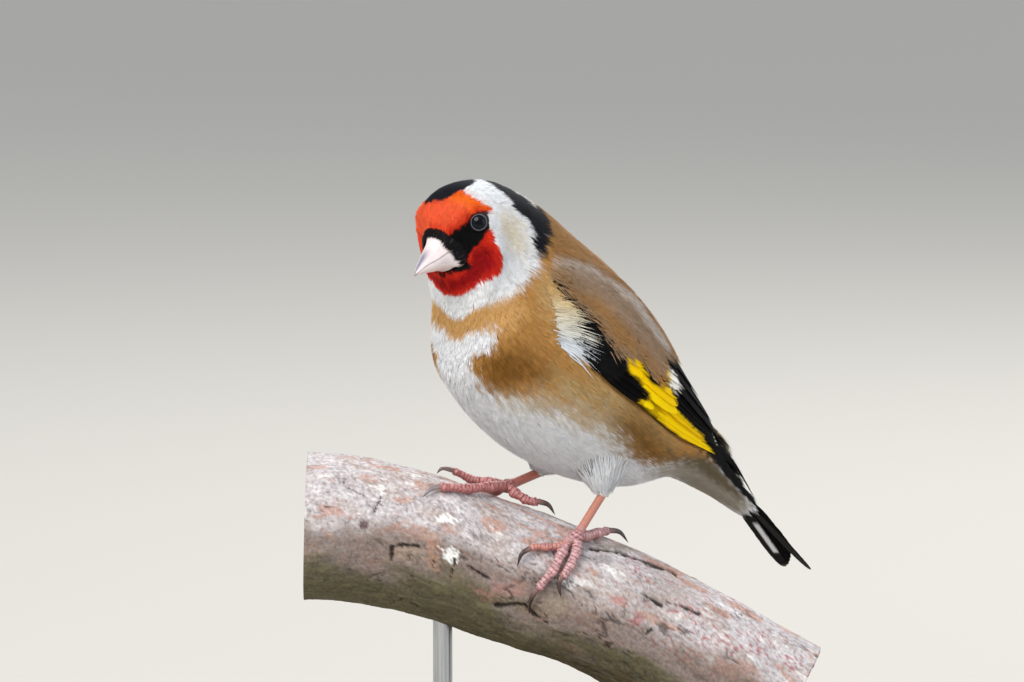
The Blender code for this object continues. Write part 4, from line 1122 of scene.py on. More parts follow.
# Long loose flank feathers that sweep up over the bend of the wing: root pixel, tip pixel, colour.
looseThickness = 0.05
plumes = {
    "guides": (
        ((549, 289), (559, 296), "#c49a60"),
        ((555, 298), (570, 304), "#d3b482"),
        ((560, 307), (583, 314), "#dcc69c"),
        ((564, 318), (592, 326), "#e3d9bf"),
        ((566, 330), (600, 343), "#dfdccf"),
        ((568, 341), (600, 358), "#d2d6d8"),
        ((571, 350), (599, 374), "#dfe6ee"),
    ),
    "count": 440,
    "halfWidth": 0.10,
    "lift": (0.55, 1.25, 1.30),
    "rows": 2.6,
}


def makePlumes():
    look = plumes
    count = look["count"] // 1
    ends = np.array([[bodyPlace(root), bodyPlace(tip)] for root, tip, _ in look["guides"]])
    colours = np.array([tone(guide[2]) for guide in look["guides"]])
    shares = np.linspace(0.0, 1.0, len(ends))
    for side in (1, -1):
        at = np.sort(draw.uniform(0.0, 1.0, count))
        start, end = np.split(curve(shares, ends.reshape(len(ends), -1), at), 2, axis=1)
        way = end - start
        start = start - way * draw.uniform(0.0, 0.3, count)[:, None]
        start = start + np.stack([draw.normal(0, 0.003, count), draw.normal(0, 1.0, count)], axis=-1)
        way = way * draw.uniform(0.40, 1.08, count)[:, None]
        way = way + np.stack([draw.normal(0, 0.002, count), draw.normal(0, 1.4, count)], axis=-1)
        lie = draw.uniform(-0.25, 0.15, count)
        stations, normals = [], []
        for share, lift in zip((0.0, 0.5, 1.0), look["lift"]):
            along = start[:, 0] + way[:, 0] * share
            around = np.radians(start[:, 1] + way[:, 1] * share + share * (1.0 - share) * -3.0) * side
            onto = smoothStep(-4.0, 6.0, wingEdges(along, around)[0]) * smoothStep(0.39, 0.43, along)
            height = mix(0.1, lift, onto) + lie * share
            stations.append(bodyPoint(along, around, height))
            normals.append(formDirections(along, around)[2])
        stations, normals = np.stack(stations, axis=1), np.stack(normals, axis=1)
        half = look["halfWidth"] * draw.uniform(0.7, 1.3, count)
        colour = curve(shares, colours, at) * (1.0 + 0.12 * draw.normal(size=(count, 1)))
        tints = np.stack([colour * 0.85, colour, colour * 1.08], axis=1)
        bake = np.stack([np.radians(start[:, 1]) * side / (2 * math.pi) + 0.5, start[:, 0]], axis=-1)
        name = "coat_plumes_" + ("left" if side > 0 else "right")
        bladePiece(name, stations, normals, half, looseThickness, np.clip(tints, 0, 1), bake)


makePlumes()
say("plumes")


# Flight feather: flat hooked barbs on a shaft, with a low gloss that lies along the barbs and a fine relief
# of slanting barbs. Real barbs are a tenth of a millimetre apart, and these are drawn coarser to show. The
# vane attribute holds millimetres along, millimetres across and a number per feather.
barbLook = {"pitch": 0.34, "slant": -1.3, "relief": 0.05, "gives": (0.88, 1.08)}


def flightFeather(look):
    material, tree, shader = newMaterial("keratin flight feather", 0.6, 0.05)
    vane = addNode(tree, "Attribute", {"attribute_name": "vane"})
    parts = addNode(tree, "SeparateXYZ", i0=vane.outputs["Vector"])
    turns = 2.0 * math.pi / look["pitch"]
    span = addNode(tree, "Math", {"operation": "ABSOLUTE"}, i0=parts.outputs["Y"])
    slant = addNode(tree, "Math", {"operation": "MULTIPLY", "1": look["slant"]}, i0=span.outputs[0])
    reach = addNode(tree, "Math", {"operation": "ADD"}, i0=parts.outputs["X"], i1=slant.outputs[0])
    phase = addNode(tree, "Math", {"operation": "MULTIPLY", "1": turns}, i0=reach.outputs[0])
    wave = addNode(tree, "Math", {"operation": "SINE"}, i0=phase.outputs[0])
    relief = addNode(tree, "MapRange", {"From Min": -1.0, "From Max": 1.0}, i0=wave.outputs[0])
    relieve(tree, shader, relief.outputs[0], 0.5, look["relief"])
    shadeTint(tree, shader, wave.outputs[0], (-1.0, 1.0), look["gives"])
    return material


vaneMaterial = flightFeather(barbLook)


def vaneWidth(share, blunt):
    # Share of the full half width, narrow at the quill and rounded from a little past the middle to the tip.
    x = np.clip((share - 0.55) / 0.45, 0.0, 1.0)
    return (0.62 + 0.38 * smoothStep(0.0, 0.3, share)) * np.maximum(1.0 - x**blunt, 0.0) ** (1.0 / blunt)


def vaneGrid(look):
    # Shares along, places across and ragged half widths of one vane.
    rows, columns = look["grid"]
    t = np.linspace(0.0, 1.0, rows)
    shares = 1.0 - (1.0 - t) ** 1.7
    shares[-1] = 0.9985
    u = np.linspace(-1.0, 1.0, columns)
    half = look["width"] * vaneWidth(shares, look["blunt"])
    ragged = 1.0 + 0.035 * draw.normal(size=(rows, 2)) * smoothStep(0.15, 0.6, shares)[:, None]
    reach = np.where(u[None, :] < 0, ragged[:, :1], ragged[:, 1:])
    return shares, u, half[:, None] * np.abs(u)[None, :] ** 0.9 * np.sign(u)[None, :] * reach


def slabFaces(rows, columns):
    # Faces of a closed slab: the upper grid, the lower grid and the rim between them.
    size = rows * columns
    top = gridFaces(rows, columns)
    under = top[:, ::-1] + size
    rim = np.concatenate(
        [
            np.arange(columns),
            np.arange(1, rows) * columns + columns - 1,
            (rows - 1) * columns + np.arange(columns - 2, -1, -1),
            np.arange(rows - 2, 0, -1) * columns,
        ]
    )
    after = np.roll(rim, -1)
    sides = np.stack([rim, rim + size, after + size, after], axis=-1)
    return np.concatenate([triangles(top), triangles(under), triangles(sides)])


class VaneSet:
    # Gathers vanes into one piece.
    def __init__(self):
        self.points, self.faces, self.tints, self.vanes, self.bakes = [], [], [], [], []
        self.total = 0

    def add(self, upper, lower, tints, vane, bake, under=None):
        rows, columns = upper.shape[:2]
        flat = np.concatenate([upper.reshape(-1, 3), lower.reshape(-1, 3)])
        faces = slabFaces(rows, columns)
        centre = flat.mean(axis=0)
        self.faces.append(outward(flat - centre, faces) + self.total)
        self.points.append(flat)
        under = tints * 0.9 if under is None else under
        self.tints.append(np.concatenate([tints.reshape(-1, 3), under.reshape(-1, 3)]))
        self.vanes.append(np.concatenate([vane.reshape(-1, 3)] * 2))
        self.bakes.append(np.concatenate([bake.reshape(-1, 2), bake.reshape(-1, 2) + (0.0, 0.0004)]))
        self.total += len(flat)

    def make(self, name, material):
        points, faces, tints, bakes = map(
            np.concatenate, (self.points, self.faces, self.tints, self.bakes)
        )
        piece = meshPiece(name, points, faces, material, tints, bakes)
        layer = piece.data.attributes.new("vane", "FLOAT_VECTOR", "POINT")
        layer.data.foreach_set("vector", np.concatenate(self.vanes).astype(np.float32).ravel())
        return piece


def bladeHalf(back):
    lower, middle, upper = (onWing(back, across) for across in (-1.0, 0.0, 1.0))
    return (np.linalg.norm(middle - lower, axis=-1) + np.linalg.norm(upper - middle, axis=-1)) / 2.0


# The wing's tiers from the innermost outward: count, first and last root and tip from the wrist, which vane
# is the longest, lower edge of the first vane and the step to the next, half width, height at root and at
# tip, how blunt the tip is, and points along and across a vane.
tierKeys = (
    "name", "count", "roots", "tips", "longest", "edge", "step", "width", "low", "high", "blunt", "grid"
)
wingTiers = (
    ("primary", 8, (34.0, 40.0), (66.0, 80.7), 6, -0.10, -0.124, 1.75, -1.1, -0.62, 1.9, (54, 9)),
    ("secondary", 6, (28.0, 32.0), (58.0, 63.0), None, -0.06, -0.125, 2.1, -0.82, -0.58, 2.4, (46, 9)),
    ("tertial", 3, (23.0, 26.0), (51.0, 65.5), None, 0.44, -0.28, 2.8, -0.5, -0.28, 2.4, (46, 13)),
    ("primaryCovert", 5, (14.0, 17.0), (29.0, 37.0), None, -0.62, -0.09, 1.4, -0.6, -0.42, 2.1, (30, 7)),
    ("greaterCovert", 9, (18.0, 20.0), (37.0, 43.0), None, 0.56, -0.165, 1.75, -0.5, -0.1, 2.3, (34, 9)),
    ("alula", 3, (6.0, 9.0), (18.0, 24.0), None, -0.9, -0.04, 1.3, -0.42, -0.2, 2.0, (30, 7)),
    ("medianCovert", 7, (9.0, 11.0), (25.0, 29.5), None, 0.5, -0.2, 1.9, -0.34, 0.12, 2.3, (30, 9)),
)
wingTiers = [dict(zip(tierKeys, row)) for row in wingTiers]
tipStep = 0.9
vaneThickness = 0.12
vaneTilt = 0.27
shaftLook = {"rise": 0.10, "half": 0.16}


def shaftRise(offsets, shares):
    # The shaft stands up along the middle and thins out toward the tip.
    return shaftLook["rise"] * np.exp(-((offsets / shaftLook["half"]) ** 2)) * (1.0 - shares)[:, None]


def wingVane(tier, index, side, vanes):
    share = index / max(tier["count"] - 1, 1)
    root = mix(*tier["roots"], share)
    tip = mix(*tier["tips"], share)
    if tier["longest"]:
        past = max(index - tier["longest"], 0)
        tip = mix(*tier["tips"], min(index / tier["longest"], 1.0)) - past * tipStep
    lowerEdge = max(tier["edge"] + tier["step"] * index, -0.99)
    shares, u, offsets = vaneGrid(tier)
    width = tier["width"]
    back = np.broadcast_to((root + (tip - root) * shares)[:, None], offsets.shape)
    base = width * vaneWidth(np.minimum(shares, 0.35), tier["blunt"])[:, None]
    across = np.clip(lowerEdge + (base + offsets) / bladeHalf(back), -1.02, 1.02)
    level = mix(tier["low"], tier["high"], shares)[:, None] - vaneTilt * offsets / width
    thick = vaneThickness * (1.0 - 0.6 * shares)[:, None]
    upper = wingPoint(back, across, level + thick / 2.0 + shaftRise(offsets, shares))
    lower = wingPoint(back, across, level - thick / 2.0)
    streak = draw.normal(0.0, 0.7, size=(1, len(u))) + draw.normal(0.0, 0.25, size=back.shape)
    tints = wingTone((back + streak).ravel(), across.ravel(), upper.reshape(-1, 3)).reshape(*back.shape, 3)
    edge = smoothStep(0.8, 1.0, np.abs(np.broadcast_to(u[None, :], back.shape)))[..., None]
    tints = mix(tints, tints * 1.1 + 0.002, edge)
    if tier["name"] in ("primary", "secondary"):
        white = smoothStep(0.955, 0.985, shares)[:, None, None] * 0.8
        tints = mix(tints, tone("#cfc8b8"), white)
    tints = tints * (1.0 + 0.08 * draw.normal())
    reach = shares[:, None] * (tip - root) + 0 * offsets
    vane = np.stack([reach, offsets, np.full(back.shape, index * 7.0)], axis=-1)
    bake = np.stack([0.5 + side * (0.2 + 0.06 * across), 0.3 + back / 250.0], axis=-1)
    vanes.add(sided(upper, side), sided(lower, side), tints, vane, bake)


# The dark flesh and small feathers that carry the vanes.
def makeWingCore(name, side):
    rows, columns = 60, 24
    back = np.repeat(np.linspace(-0.2, 54.0, rows), columns).reshape(rows, columns)
    across = np.tile(np.linspace(-0.97, 0.97, columns), (rows, 1))
    upper = wingPoint(back, across, -0.95)
    lower = wingPoint(back, across, -1.9)
    flat = np.concatenate([upper.reshape(-1, 3), lower.reshape(-1, 3)])
    faces = slabFaces(rows, columns)
    flat = sided(flat, side)
    centre = flat.mean(axis=0)
    back, across = np.tile(back.ravel(), 2), np.tile(across.ravel(), 2)
    tints = wingTone(back, across, flat) * 0.6
    bake = np.stack([0.5 + side * (0.2 + 0.06 * across), 0.3 + back / 250.0], axis=-1)
    meshPiece(name, flat, outward(flat - centre, faces), skinMaterial, tints, bake)


def makeWing(name, side):
    vanes = VaneSet()
    for tier in wingTiers:
        for index in range(tier["count"]):
            wingVane(tier, index, side, vanes)
    wing = vanes.make("vanes_" + name, vaneMaterial)
    makeWingCore("core_" + name, side)
    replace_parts(wing, name)


makeWing("wing_left", 1)
makeWing("wing_right", -1)
say("wings")


# The tail: twelve feathers from one root, stacked with the middle pair on top.
tailLook = {
    "root": (0.0, 46.8, -26.8),
    "slope": math.radians(45.5),
    "sway": math.radians(1.0),
    "start": 2.0,
    "tips": (18.6, 19.6, 20.6, 21.5, 22.3, 22.8),
    "halfWidths": (2.2, 2.2, 2.2, 2.15, 2.1, 2.0),
    "fan": math.radians(1.5),
    "rootSpread": 0.16,
    "stack": 0.26,
    "blunt": 2.6,
    "grid": (44, 11),
    "colour": "#0a090a",
    "tip": "#8c8478",
    "window": "#f4f6fb",
    "windowOn": 5,
}


def tailVane(index, side, vanes):
    look = tailLook
    width = look["halfWidths"][index]
    shares, _, offsets = vaneGrid({**look, "width": width})
    angle = side * look["fan"] * (index + 0.5) + look["sway"]
    reach = mix(look["start"], look["tips"][index], shares)[:, None]
    spread = side * look["rootSpread"] * (index + 0.5)
    level = look["stack"] * (3.0 - index + side / 4.0) - vaneTilt * side * offsets / width
    down = np.array((0.0, math.cos(look["slope"]), -math.sin(look["slope"])))
    normal = np.array((0.0, math.sin(look["slope"]), math.cos(look["slope"])))
    across = spread + reach * math.sin(angle) + offsets
    thick = vaneThickness * (1.0 - 0.5 * shares)[:, None]
    rows = []
    for height in (level + thick / 2.0 + shaftRise(offsets, shares), level - thick / 2.0):
        points = look["root"] + down * (reach * math.cos(angle))[..., None] + normal * height[..., None]
        points[..., 0] += across
        rows.append(points)
    upper, lower = rows
    tints = np.tile(tone(look["colour"]), (*offsets.shape, 1))
    tip = smoothStep(0.955, 0.99, shares)[:, None, None]
    tints = mix(tints, tone(look["tip"]), tip * 0.5)
    under = tints
    if index == look["windowOn"]:
        # a white patch on the inner web, which shows from below on the right feather only
        window = between(-side * offsets / width, -0.25, -0.05, 0.55, 0.7)
        window = window * between(shares, 0.31, 0.35, 0.76, 0.80)[:, None]
        tints = mix(tints, tone(look["window"]), window[..., None])
        under = tints if side < 0 else under
    vane = np.stack([reach + 0 * offsets, offsets, np.full(offsets.shape, index * 3.0)], axis=-1)
    bakeBack = 0.93 + 0 * offsets + reach / 400.0
    bake = np.stack([0.5 + side * 0.02 * (index + 1) + offsets / 300.0, bakeBack], axis=-1)
    vanes.add(upper, lower, tints, vane, bake, under)


def makeTail():
    vanes = VaneSet()
    for index in range(5, -1, -1):
        for side in (-1, 1):
            tailVane(index, side, vanes)
    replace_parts(vanes.make("vanes_tail", vaneMaterial), "tail")


makeTail()
say("tail")


# Thighs: soft short feathers on a tapering core, down to the bare leg.
legPlaces = {
    "left": {"joint": (9.0, -2.8, -31.1), "heel": (8.6, 5.9, -21.1), "bareFrom": 2.4},
    "right": {"joint": (-9.0, -6.6, -22.1), "heel": (-8.6, 7.0, -18.3), "bareFrom": 5.8},
}
thighLook = {
    "top": (8.0, 4.5, -11.0),
    "radii": (2.4, 2.7, 2.9, 2.4, 1.35),
    "depth": 0.7,
    "spacing": 0.72,
    "length": 2.8,
    "width": 0.75,
    "barbs": 5,
    "root": 0.62,
    "colour": "#e6e3de",
}


def thighPath(side):
    leg = legPlaces[side]
    joint, heel = np.array(leg["joint"]), np.array(leg["heel"])
    end = heel + unit(joint - heel) * leg["bareFrom"]
    top = np.array(thighLook["top"])
    top[0] = math.copysign(top[0], heel[0])
    return top, end


def tubePoint(top, end, share, around, height=0.0):
    axis = unit(end - top)
    sideways = unit(np.cross(axis, (0.0, 1.0, 0.0)))
    over = np.cross(axis, sideways)
    radius = curve(np.linspace(0, 1, 5), thighLook["radii"], share)[:, 0] + height
    out = np.cos(around)[:, None] * sideways + np.sin(around)[:, None] * over
    return top + (end - top) * share[:, None] + out * radius[:, None], out


def makeThigh(side):
    top, end = thighPath(side)
    look = thighLook
    rows, sides = 40, 36
    share = np.repeat(np.linspace(0.0, 1.0, rows), sides)
    around = np.tile(np.linspace(0, 2 * math.pi, sides, endpoint=False), rows)
    points, _ = tubePoint(top, end, share, around, -look["depth"] * (1.0 - 0.5 * share))
    whole, faces = loftTube(points.reshape(rows, sides, 3))
    colour = tone(look["colour"])
    tints = np.tile(colour * 0.9, (len(whole), 1))
    bake = np.concatenate([np.stack([around, share], axis=-1) * 0.01, np.zeros((2, 2))])
    bake = bake + (0.3 if side == "left" else 0.7, 0.05)
    core = meshPiece("core_thigh_" + side, whole, faces, skinMaterial, tints, bake)
    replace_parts(core, "thigh_" + side)
    length = np.linalg.norm(end - top)
    roots = []
    at = 0.0
    index = 0
    while at < 1.0:
        radius = float(curve(np.linspace(0, 1, 5), look["radii"], at)[0, 0])
        count = max(int(2 * math.pi * radius / (look["spacing"] * density)), 5)
        angles = (np.arange(count) + 0.5 * (index % 2)) / count * 2 * math.pi
        angles = angles + draw.uniform(-0.2, 0.2, count) / radius
        roots.append(np.stack([np.full(count, at) + draw.uniform(-0.02, 0.02, count), angles], axis=-1))
        at += 0.8 * look["spacing"] * density / length
        index += 1
    roots = np.concatenate(roots)
    barbs = look["barbs"]
    count = len(roots)
    share = np.repeat(roots[:, 0], barbs)
    around = np.repeat(roots[:, 1], barbs)
    size = np.repeat(draw.uniform(0.8, 1.2, count), barbs) * (1.0 - 0.45 * np.clip(share, 0, 1))
    spread = np.tile(np.linspace(-1, 1, barbs), count) + draw.normal(0, 0.15, count * barbs)
    stations, normals = [], []
    for part, wide, lift in ((0.0, 0.25, -1.0), (0.5, 0.8, -0.3), (1.0, 0.9, 0.05)):
        radius = curve(np.linspace(0, 1, 5), look["radii"], np.clip(share + 0.08, 0, 1))[:, 0]
        angle = around + spread * look["width"] * wide * size / radius
        a = np.minimum(share + look["length"] * size * part / length, 1.06)
        height = look["depth"] * lift * (1.0 - 0.5 * np.clip(share, 0, 1))
        point, out = tubePoint(top, end, a, angle, height)
        stations.append(point)
        normals.append(out)
    stations = np.stack(stations, axis=1)
    normals = np.stack(normals, axis=1)
    half = look["root"] * look["width"] / barbs * bladeOverlap * size
    tints = coatTints(np.tile(colour, (count * barbs, 1)), count, barbs)
    bake = np.stack([0.3 + around * 0.01 + (0.0 if side == "left" else 0.4), 0.05 + share * 0.02], axis=-1)
    bladePiece("coat_thigh_" + side, stations, normals, half, bladeThickness, tints, bake)


# Belly feathers fall over the thigh, so it leaves the body without an edge.
veilLook = {
    "count": 2900,
    "away": (0.6, 2.8),
    "from": (0.34, 0.80),
    "to": (0.66, 1.03),
    "halfWidth": 0.13,
    "colour": "#dddfe2",
}


def makeVeil(side):
    look = veilLook
    count = look["count"] // 1
    sign = 1.0 if side == "left" else -1.0
    top, end = thighPath(side)
    turn = draw.uniform(0.0, 2 * math.pi, count)
    beside, out = tubePoint(top, end, draw.uniform(*look["from"], count), turn)
    wanted = beside + out * draw.uniform(*look["away"], count)[:, None]
    belly = np.meshgrid(np.linspace(0.5, 0.86, 91), np.radians(np.linspace(50.0, 180.0, 79)) * sign)
    along, around = (grid.ravel() for grid in belly)
    form = onForm(along, around)
    nearest = np.array([np.argmin(((form - place) ** 2).sum(axis=1)) for place in wanted])
    along, around = along[nearest], around[nearest]
    normal = formDirections(along, around)[2]
    root = onForm(along, around) - normal * 0.5
    tip, tipOut = tubePoint(
        top, end, draw.uniform(*look["to"], count), turn + draw.normal(0.0, 0.25, count), 0.1
    )
    tip = tip + tipOut * draw.uniform(0.0, 0.5, count)[:, None]
    way = tip - root
    long = np.linalg.norm(way, axis=1)
    keep = (long > 1.5) & (long < 10.0)
    middle = root + way * 0.5 + unit(normal + tipOut) * (0.06 + 0.01 * long)[:, None]
    stations = np.stack([root, middle, tip], axis=1)[keep]
    normals = np.stack([normal, unit(normal + tipOut), tipOut], axis=1)[keep]
    half = look["halfWidth"] * draw.uniform(0.7, 1.3, keep.sum())
    colour = mix(bodyTone(along[keep], around[keep], root[keep]), tone(look["colour"]), 0.75)
    colour = colour * (0.97 + 0.03 * draw.normal(size=(keep.sum(), 1)))
    tints = np.stack([colour, colour, colour], axis=1)
    bake = np.stack([around[keep] / (2 * math.pi) + 0.5, along[keep]], axis=-1)
    bladePiece("coat_veil_" + side, stations, normals, half, looseThickness, np.clip(tints, 0, 1), bake)


for side in ("left", "right"):
    makeThigh(side)
    makeVeil(side)
say("thighs")


# A wet cornea over a near black iris: mirror gloss, with the iris's flecks faint under it.
irisLook = {"flecks": 0.3846, "reads": (0.35, 0.65), "gives": (0.8, 1.25)}


def wetEye(look):
    film = {"Coat_Weight": 0.15, "Coat_Roughness": 0.02, "Coat_IOR": 1.38}
    material, tree, shader = newMaterial("wet dark eye", 0.06, 0.12, **film)
    shadeTint(tree, shader, objectNoise(tree, look["flecks"], Detail=2.0), look["reads"], look["gives"])
    return material


# Bare skin round the eye: matt grey, finely wrinkled.
def bareSkin(name, roughness, wrinkle):
    material, tree, shader = newMaterial(name, roughness, 0.4, Subsurface_Weight=0.12)
    scatterUnder(shader, 1.0, 0.4, 0.3)
    place = addNode(tree, "TexCoord")
    cells = addNode(tree, "TexVoronoi", {"Scale": 1000.0 / wrinkle}, i0=place.outputs["Object"])
    relieve(tree, shader, cells.outputs["Distance"], 0.35, 0.06)
    shadeTint(tree, shader, cells.outputs["Distance"], (0.0, 0.8), (1.06, 0.86))
    return material


# The ring's section as distance from the eye's middle and height over its seat, and how pale each step is.
ringLook = {
    "profile": (
        (1.46, -0.5), (1.48, 0.12), (1.51, 0.20), (1.55, 0.23), (1.60, 0.20), (1.70, 0.08), (1.84, -0.10),
        (1.96, -0.5),
    ),
    "pale": (0.0, 0.0, 0.5, 1.0, 0.5, 0.06, 0.0, 0.0),
    "sides": 96,
    "ripple": 0.02,
    "edge": "#09080a",
    "crest": "#716e76",
}
eyeMaterial = wetEye(irisLook)
ringMaterial = bareSkin("bare orbital skin", 0.55, 0.25)


def makeEye(name, side):
    centre, looking = eyeFrame(side)
    sideways = unit(np.cross(looking, (0.0, 0.0, 1.0)))
    over = np.cross(sideways, looking)
    rows, sides = 48, 72
    polar = np.linspace(0.02, math.pi - 0.02, rows)
    turn = np.linspace(0, 2 * math.pi, sides, endpoint=False)
    out = np.cos(turn)[:, None] * sideways + np.sin(turn)[:, None] * over
    rings = centre + eyeLook["radius"] * (
        np.cos(polar)[:, None, None] * looking + np.sin(polar)[:, None, None] * out[None]
    )
    points, faces = loftTube(rings)
    degrees = np.degrees(polar)
    iris = smoothStep(17.0, 19.0, degrees) * (1.0 - smoothStep(33.0, 36.0, degrees))
    tints = mix(tone("#020409"), tone("#0a0f1a"), iris[:, None, None]) + np.zeros((rows, sides, 3))
    tints = np.concatenate([tints.reshape(-1, 3), [tone("#040406"), tone("#040406")]])
    ball = meshPiece("ball_" + name, points, faces, eyeMaterial, tints)
    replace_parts(ball, name)
    seat = centre + looking * eyeLook["sink"]
    profile, sides = ringLook["profile"], ringLook["sides"]
    turn = np.linspace(0, 2 * math.pi, sides, endpoint=False)
    out = np.cos(turn)[:, None] * sideways + np.sin(turn)[:, None] * over
    ringRows = []
    ringTints = []
    for index, (radius, height) in enumerate(profile):
        ripple = ringLook["ripple"] * np.sin(turn * 22.0) * (1 if 1 < index < 6 else 0)
        ringRows.append(seat + out * (radius + ripple)[:, None] + looking * (height + ripple)[:, None])
        shade = mix(tone(ringLook["edge"]), tone(ringLook["crest"]), ringLook["pale"][index])
        ringTints.append(np.tile(shade, (sides, 1)))
    first = np.arange(sides)
    last, after = (len(profile) - 1) * sides, np.roll(first, -1)
    closing = np.stack([last + first, last + after, after, first], axis=-1)
    loop = np.concatenate([gridFaces(len(profile), sides, True), closing])
    flat = np.array(ringRows).reshape(-1, 3)
    meshPiece(
        "ring_" + name, flat, outward(flat - seat, triangles(loop)), ringMaterial,
        np.concatenate(ringTints),
    )


makeEye("eye_left", 1)
makeEye("eye_right", -1)
say("eyes")


# The bill: sections in the head's own frame, each with its lowest and highest (y, z), half width and bow.
billSections = (
    ((-34.2, 24.6), (-36.1, 30.4), 3.40, 0.9),
    ((-36.3, 24.5), (-37.9, 28.2), 2.30, 0.3),
    ((-38.4, 24.4), (-39.5, 26.2), 1.25, 0.0),
    ((-39.8, 24.2), (-40.4, 25.0), 0.55, 0.0),
    ((-40.7, 24.0), (-40.8, 24.2), 0.15, 0.0),
)
billShares = (0.0, 0.24, 0.50, 0.76, 0.93, 1.0)
mouthLine = (
    (-27.0, 25.8),
    (-31.5, 26.65),
    (-33.1, 27.72),
    (-34.0, 28.65),
    (-35.2, 28.04),
    (-36.5, 27.19),
    (-38.2, 26.29),
    (-39.6, 25.21),
    (-40.75, 24.15),
    (-41.6, 23.3),
)
billLook = {
    "rows": 70,
    "sides": 96,
    "gap": 0.09,
    "powers": (1.75, 2.0),
    "gape": (465.7, 261.4),
    "flange": 0.34,
    "crest": (0.012, 0.55),
    "horn": "#e6d8d8",
    "sideHorn": "#d9b3a6",
    "culmen": "#6d6a86",
    "lowerHorn": "#d3cdcd",
    "tip": "#8d7472",
    "base": "#b9a3a0",
    "gapeSkin": "#0c0a0b",
    "mouthEdge": "#b0918c",
    "growthLines": 0.526,
}


def billRings(around):
    made = []
    for (lowY, lowZ), (highY, highZ), width, bow in billSections:
        sine, cosine = np.sin(around), np.cos(around)
        power = np.where(cosine >= 0, *billLook["powers"])
        reach = (np.abs(cosine) ** power + np.abs(sine) ** power) ** (-1.0 / power)
        share = (0.5 + 0.5 * reach * cosine)[:, None]
        points = np.stack([reach * sine * width, bow * sine * sine, 0 * sine], axis=-1)
        points = points + np.array((0.0, lowY, lowZ)) + share * np.array((0.0, highY - lowY, highZ - lowZ))
        made.append(turnHead(points, 1.0))
    return made


def billBase(around):
    # The base follows the rim of the head, and runs back to the corners of the mouth.
    rim = onForm(0.0, around)
    middle = rim.mean(axis=0)
    gapeAlong, gapeAround = bodyPlace(billLook["gape"])
    back = np.exp(-(((np.abs(around) - math.radians(gapeAround)) / billLook["flange"]) ** 2))
    crest = np.exp(-((around / billLook["crest"][1]) ** 2))
    flange = bodyPoint(gapeAlong * back + billLook["crest"][0] * crest, around, np.full(len(around), 0.06))
    return mix(
        middle + (rim - middle) * 0.95, flange, smoothStep(0.05, 0.5, np.maximum(back, crest))[:, None]
    )


def billTints(share, around, lower):
    look = billLook
    angle = np.abs(around)
    gape = np.exp(-(((angle - math.radians(bodyPlace(look["gape"])[1])) / 0.30) ** 2))
    washes = (
        ("sideHorn", 0.7 * smoothStep(1.7, 2.7, angle) * (1.0 - 0.5 * share)),
        # The culmen's grey-lavender is partly the horn's own grey and partly painted shade along the bill's
        # upper edge.
        ("culmen", 0.9 * np.exp(-((around / 0.5) ** 2)) * smoothStep(0.28, 0.60, share)),
        ("lowerHorn", 0.6 * (1.0 - share) * lower),
        ("tip", 0.75 * smoothStep(0.93, 1.0, share)),
        ("base", 0.5 * (1.0 - smoothStep(0.0, 0.10, share))),
        ("gapeSkin", gape * (1.0 - smoothStep(0.03, 0.09, share))),
    )
    colour = np.tile(tone(look["horn"]), (len(share), 1))
    for name, amount in washes:
        colour = mix(colour, tone(look[name]), amount[:, None])
    return colour


# Horn of the bill: smooth and waxy, light goes a little way in, with growth lines along it.
def paleHorn():
    material, tree, shader = newMaterial("pale waxy horn", 0.33, 0.5, Subsurface_Weight=0.25)
    scatterUnder(shader, 1.6, 1.0, 0.8)
    lines = objectNoise(tree, billLook["growthLines"], (1.0, 0.22, 1.0), Detail=3.0)
    relieve(tree, shader, lines, 0.2, 0.03)
    shadeTint(tree, shader, lines, (0.3, 0.7), (0.93, 1.04))
    return material


hornMaterial = paleHorn()


def billSurface(share, around):
    # Points of the whole bill for one ring of angles at each share, rows x sides x 3.
    stations = np.array([billBase(around)] + billRings(around))
    made = curve(billShares, stations.reshape(len(stations), -1), share)
    return made.reshape(len(share), len(around), 3)


def makeBill(name, lower):
    rows, sides = billLook["rows"], billLook["sides"]
    share = np.linspace(0.0, 1.0, rows) ** 0.92
    around = np.linspace(-math.pi, math.pi, sides, endpoint=False)
    points = turnHead(billSurface(share, around), -1.0)
    places = np.array(mouthLine)[::-1]
    mouth = curve(places[:, 0], places[:, 1], points[..., 1].ravel())[:, 0].reshape(rows, sides)
    half = billLook["gap"] / 2.0
    cut, edge = (np.minimum, mouth - half) if lower else (np.maximum, mouth + half)
    points[..., 2] = cut(points[..., 2], edge)
    whole, faces = loftTube(turnHead(points, 1.0))
    tints = billTints(np.repeat(share, sides), np.tile(around, rows), lower)
    edge = np.exp(-((np.abs(points[..., 2] - mouth).ravel() / 0.16) ** 2))
    tints = mix(tints, tone(billLook["mouthEdge"]), (0.55 * edge)[:, None])
    tints = np.concatenate([tints, tints[:1], tints[-1:]])
    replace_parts(meshPiece("horn_" + name, whole, faces, hornMaterial, tints), name)


makeBill("bill_upper", False)
makeBill("bill_lower", True)


# Stiff black bristles lean forward over the base of the bill and hide the nostrils.
bristleLook = {
    "angles": (0.0, 112.0),
    "count": 900,
    "length": (0.7, 1.8),
    "halfWidth": 0.10,
    "colour": "#0b090c",
    "pale": "#454244",
    "paleShare": 0.03,
}


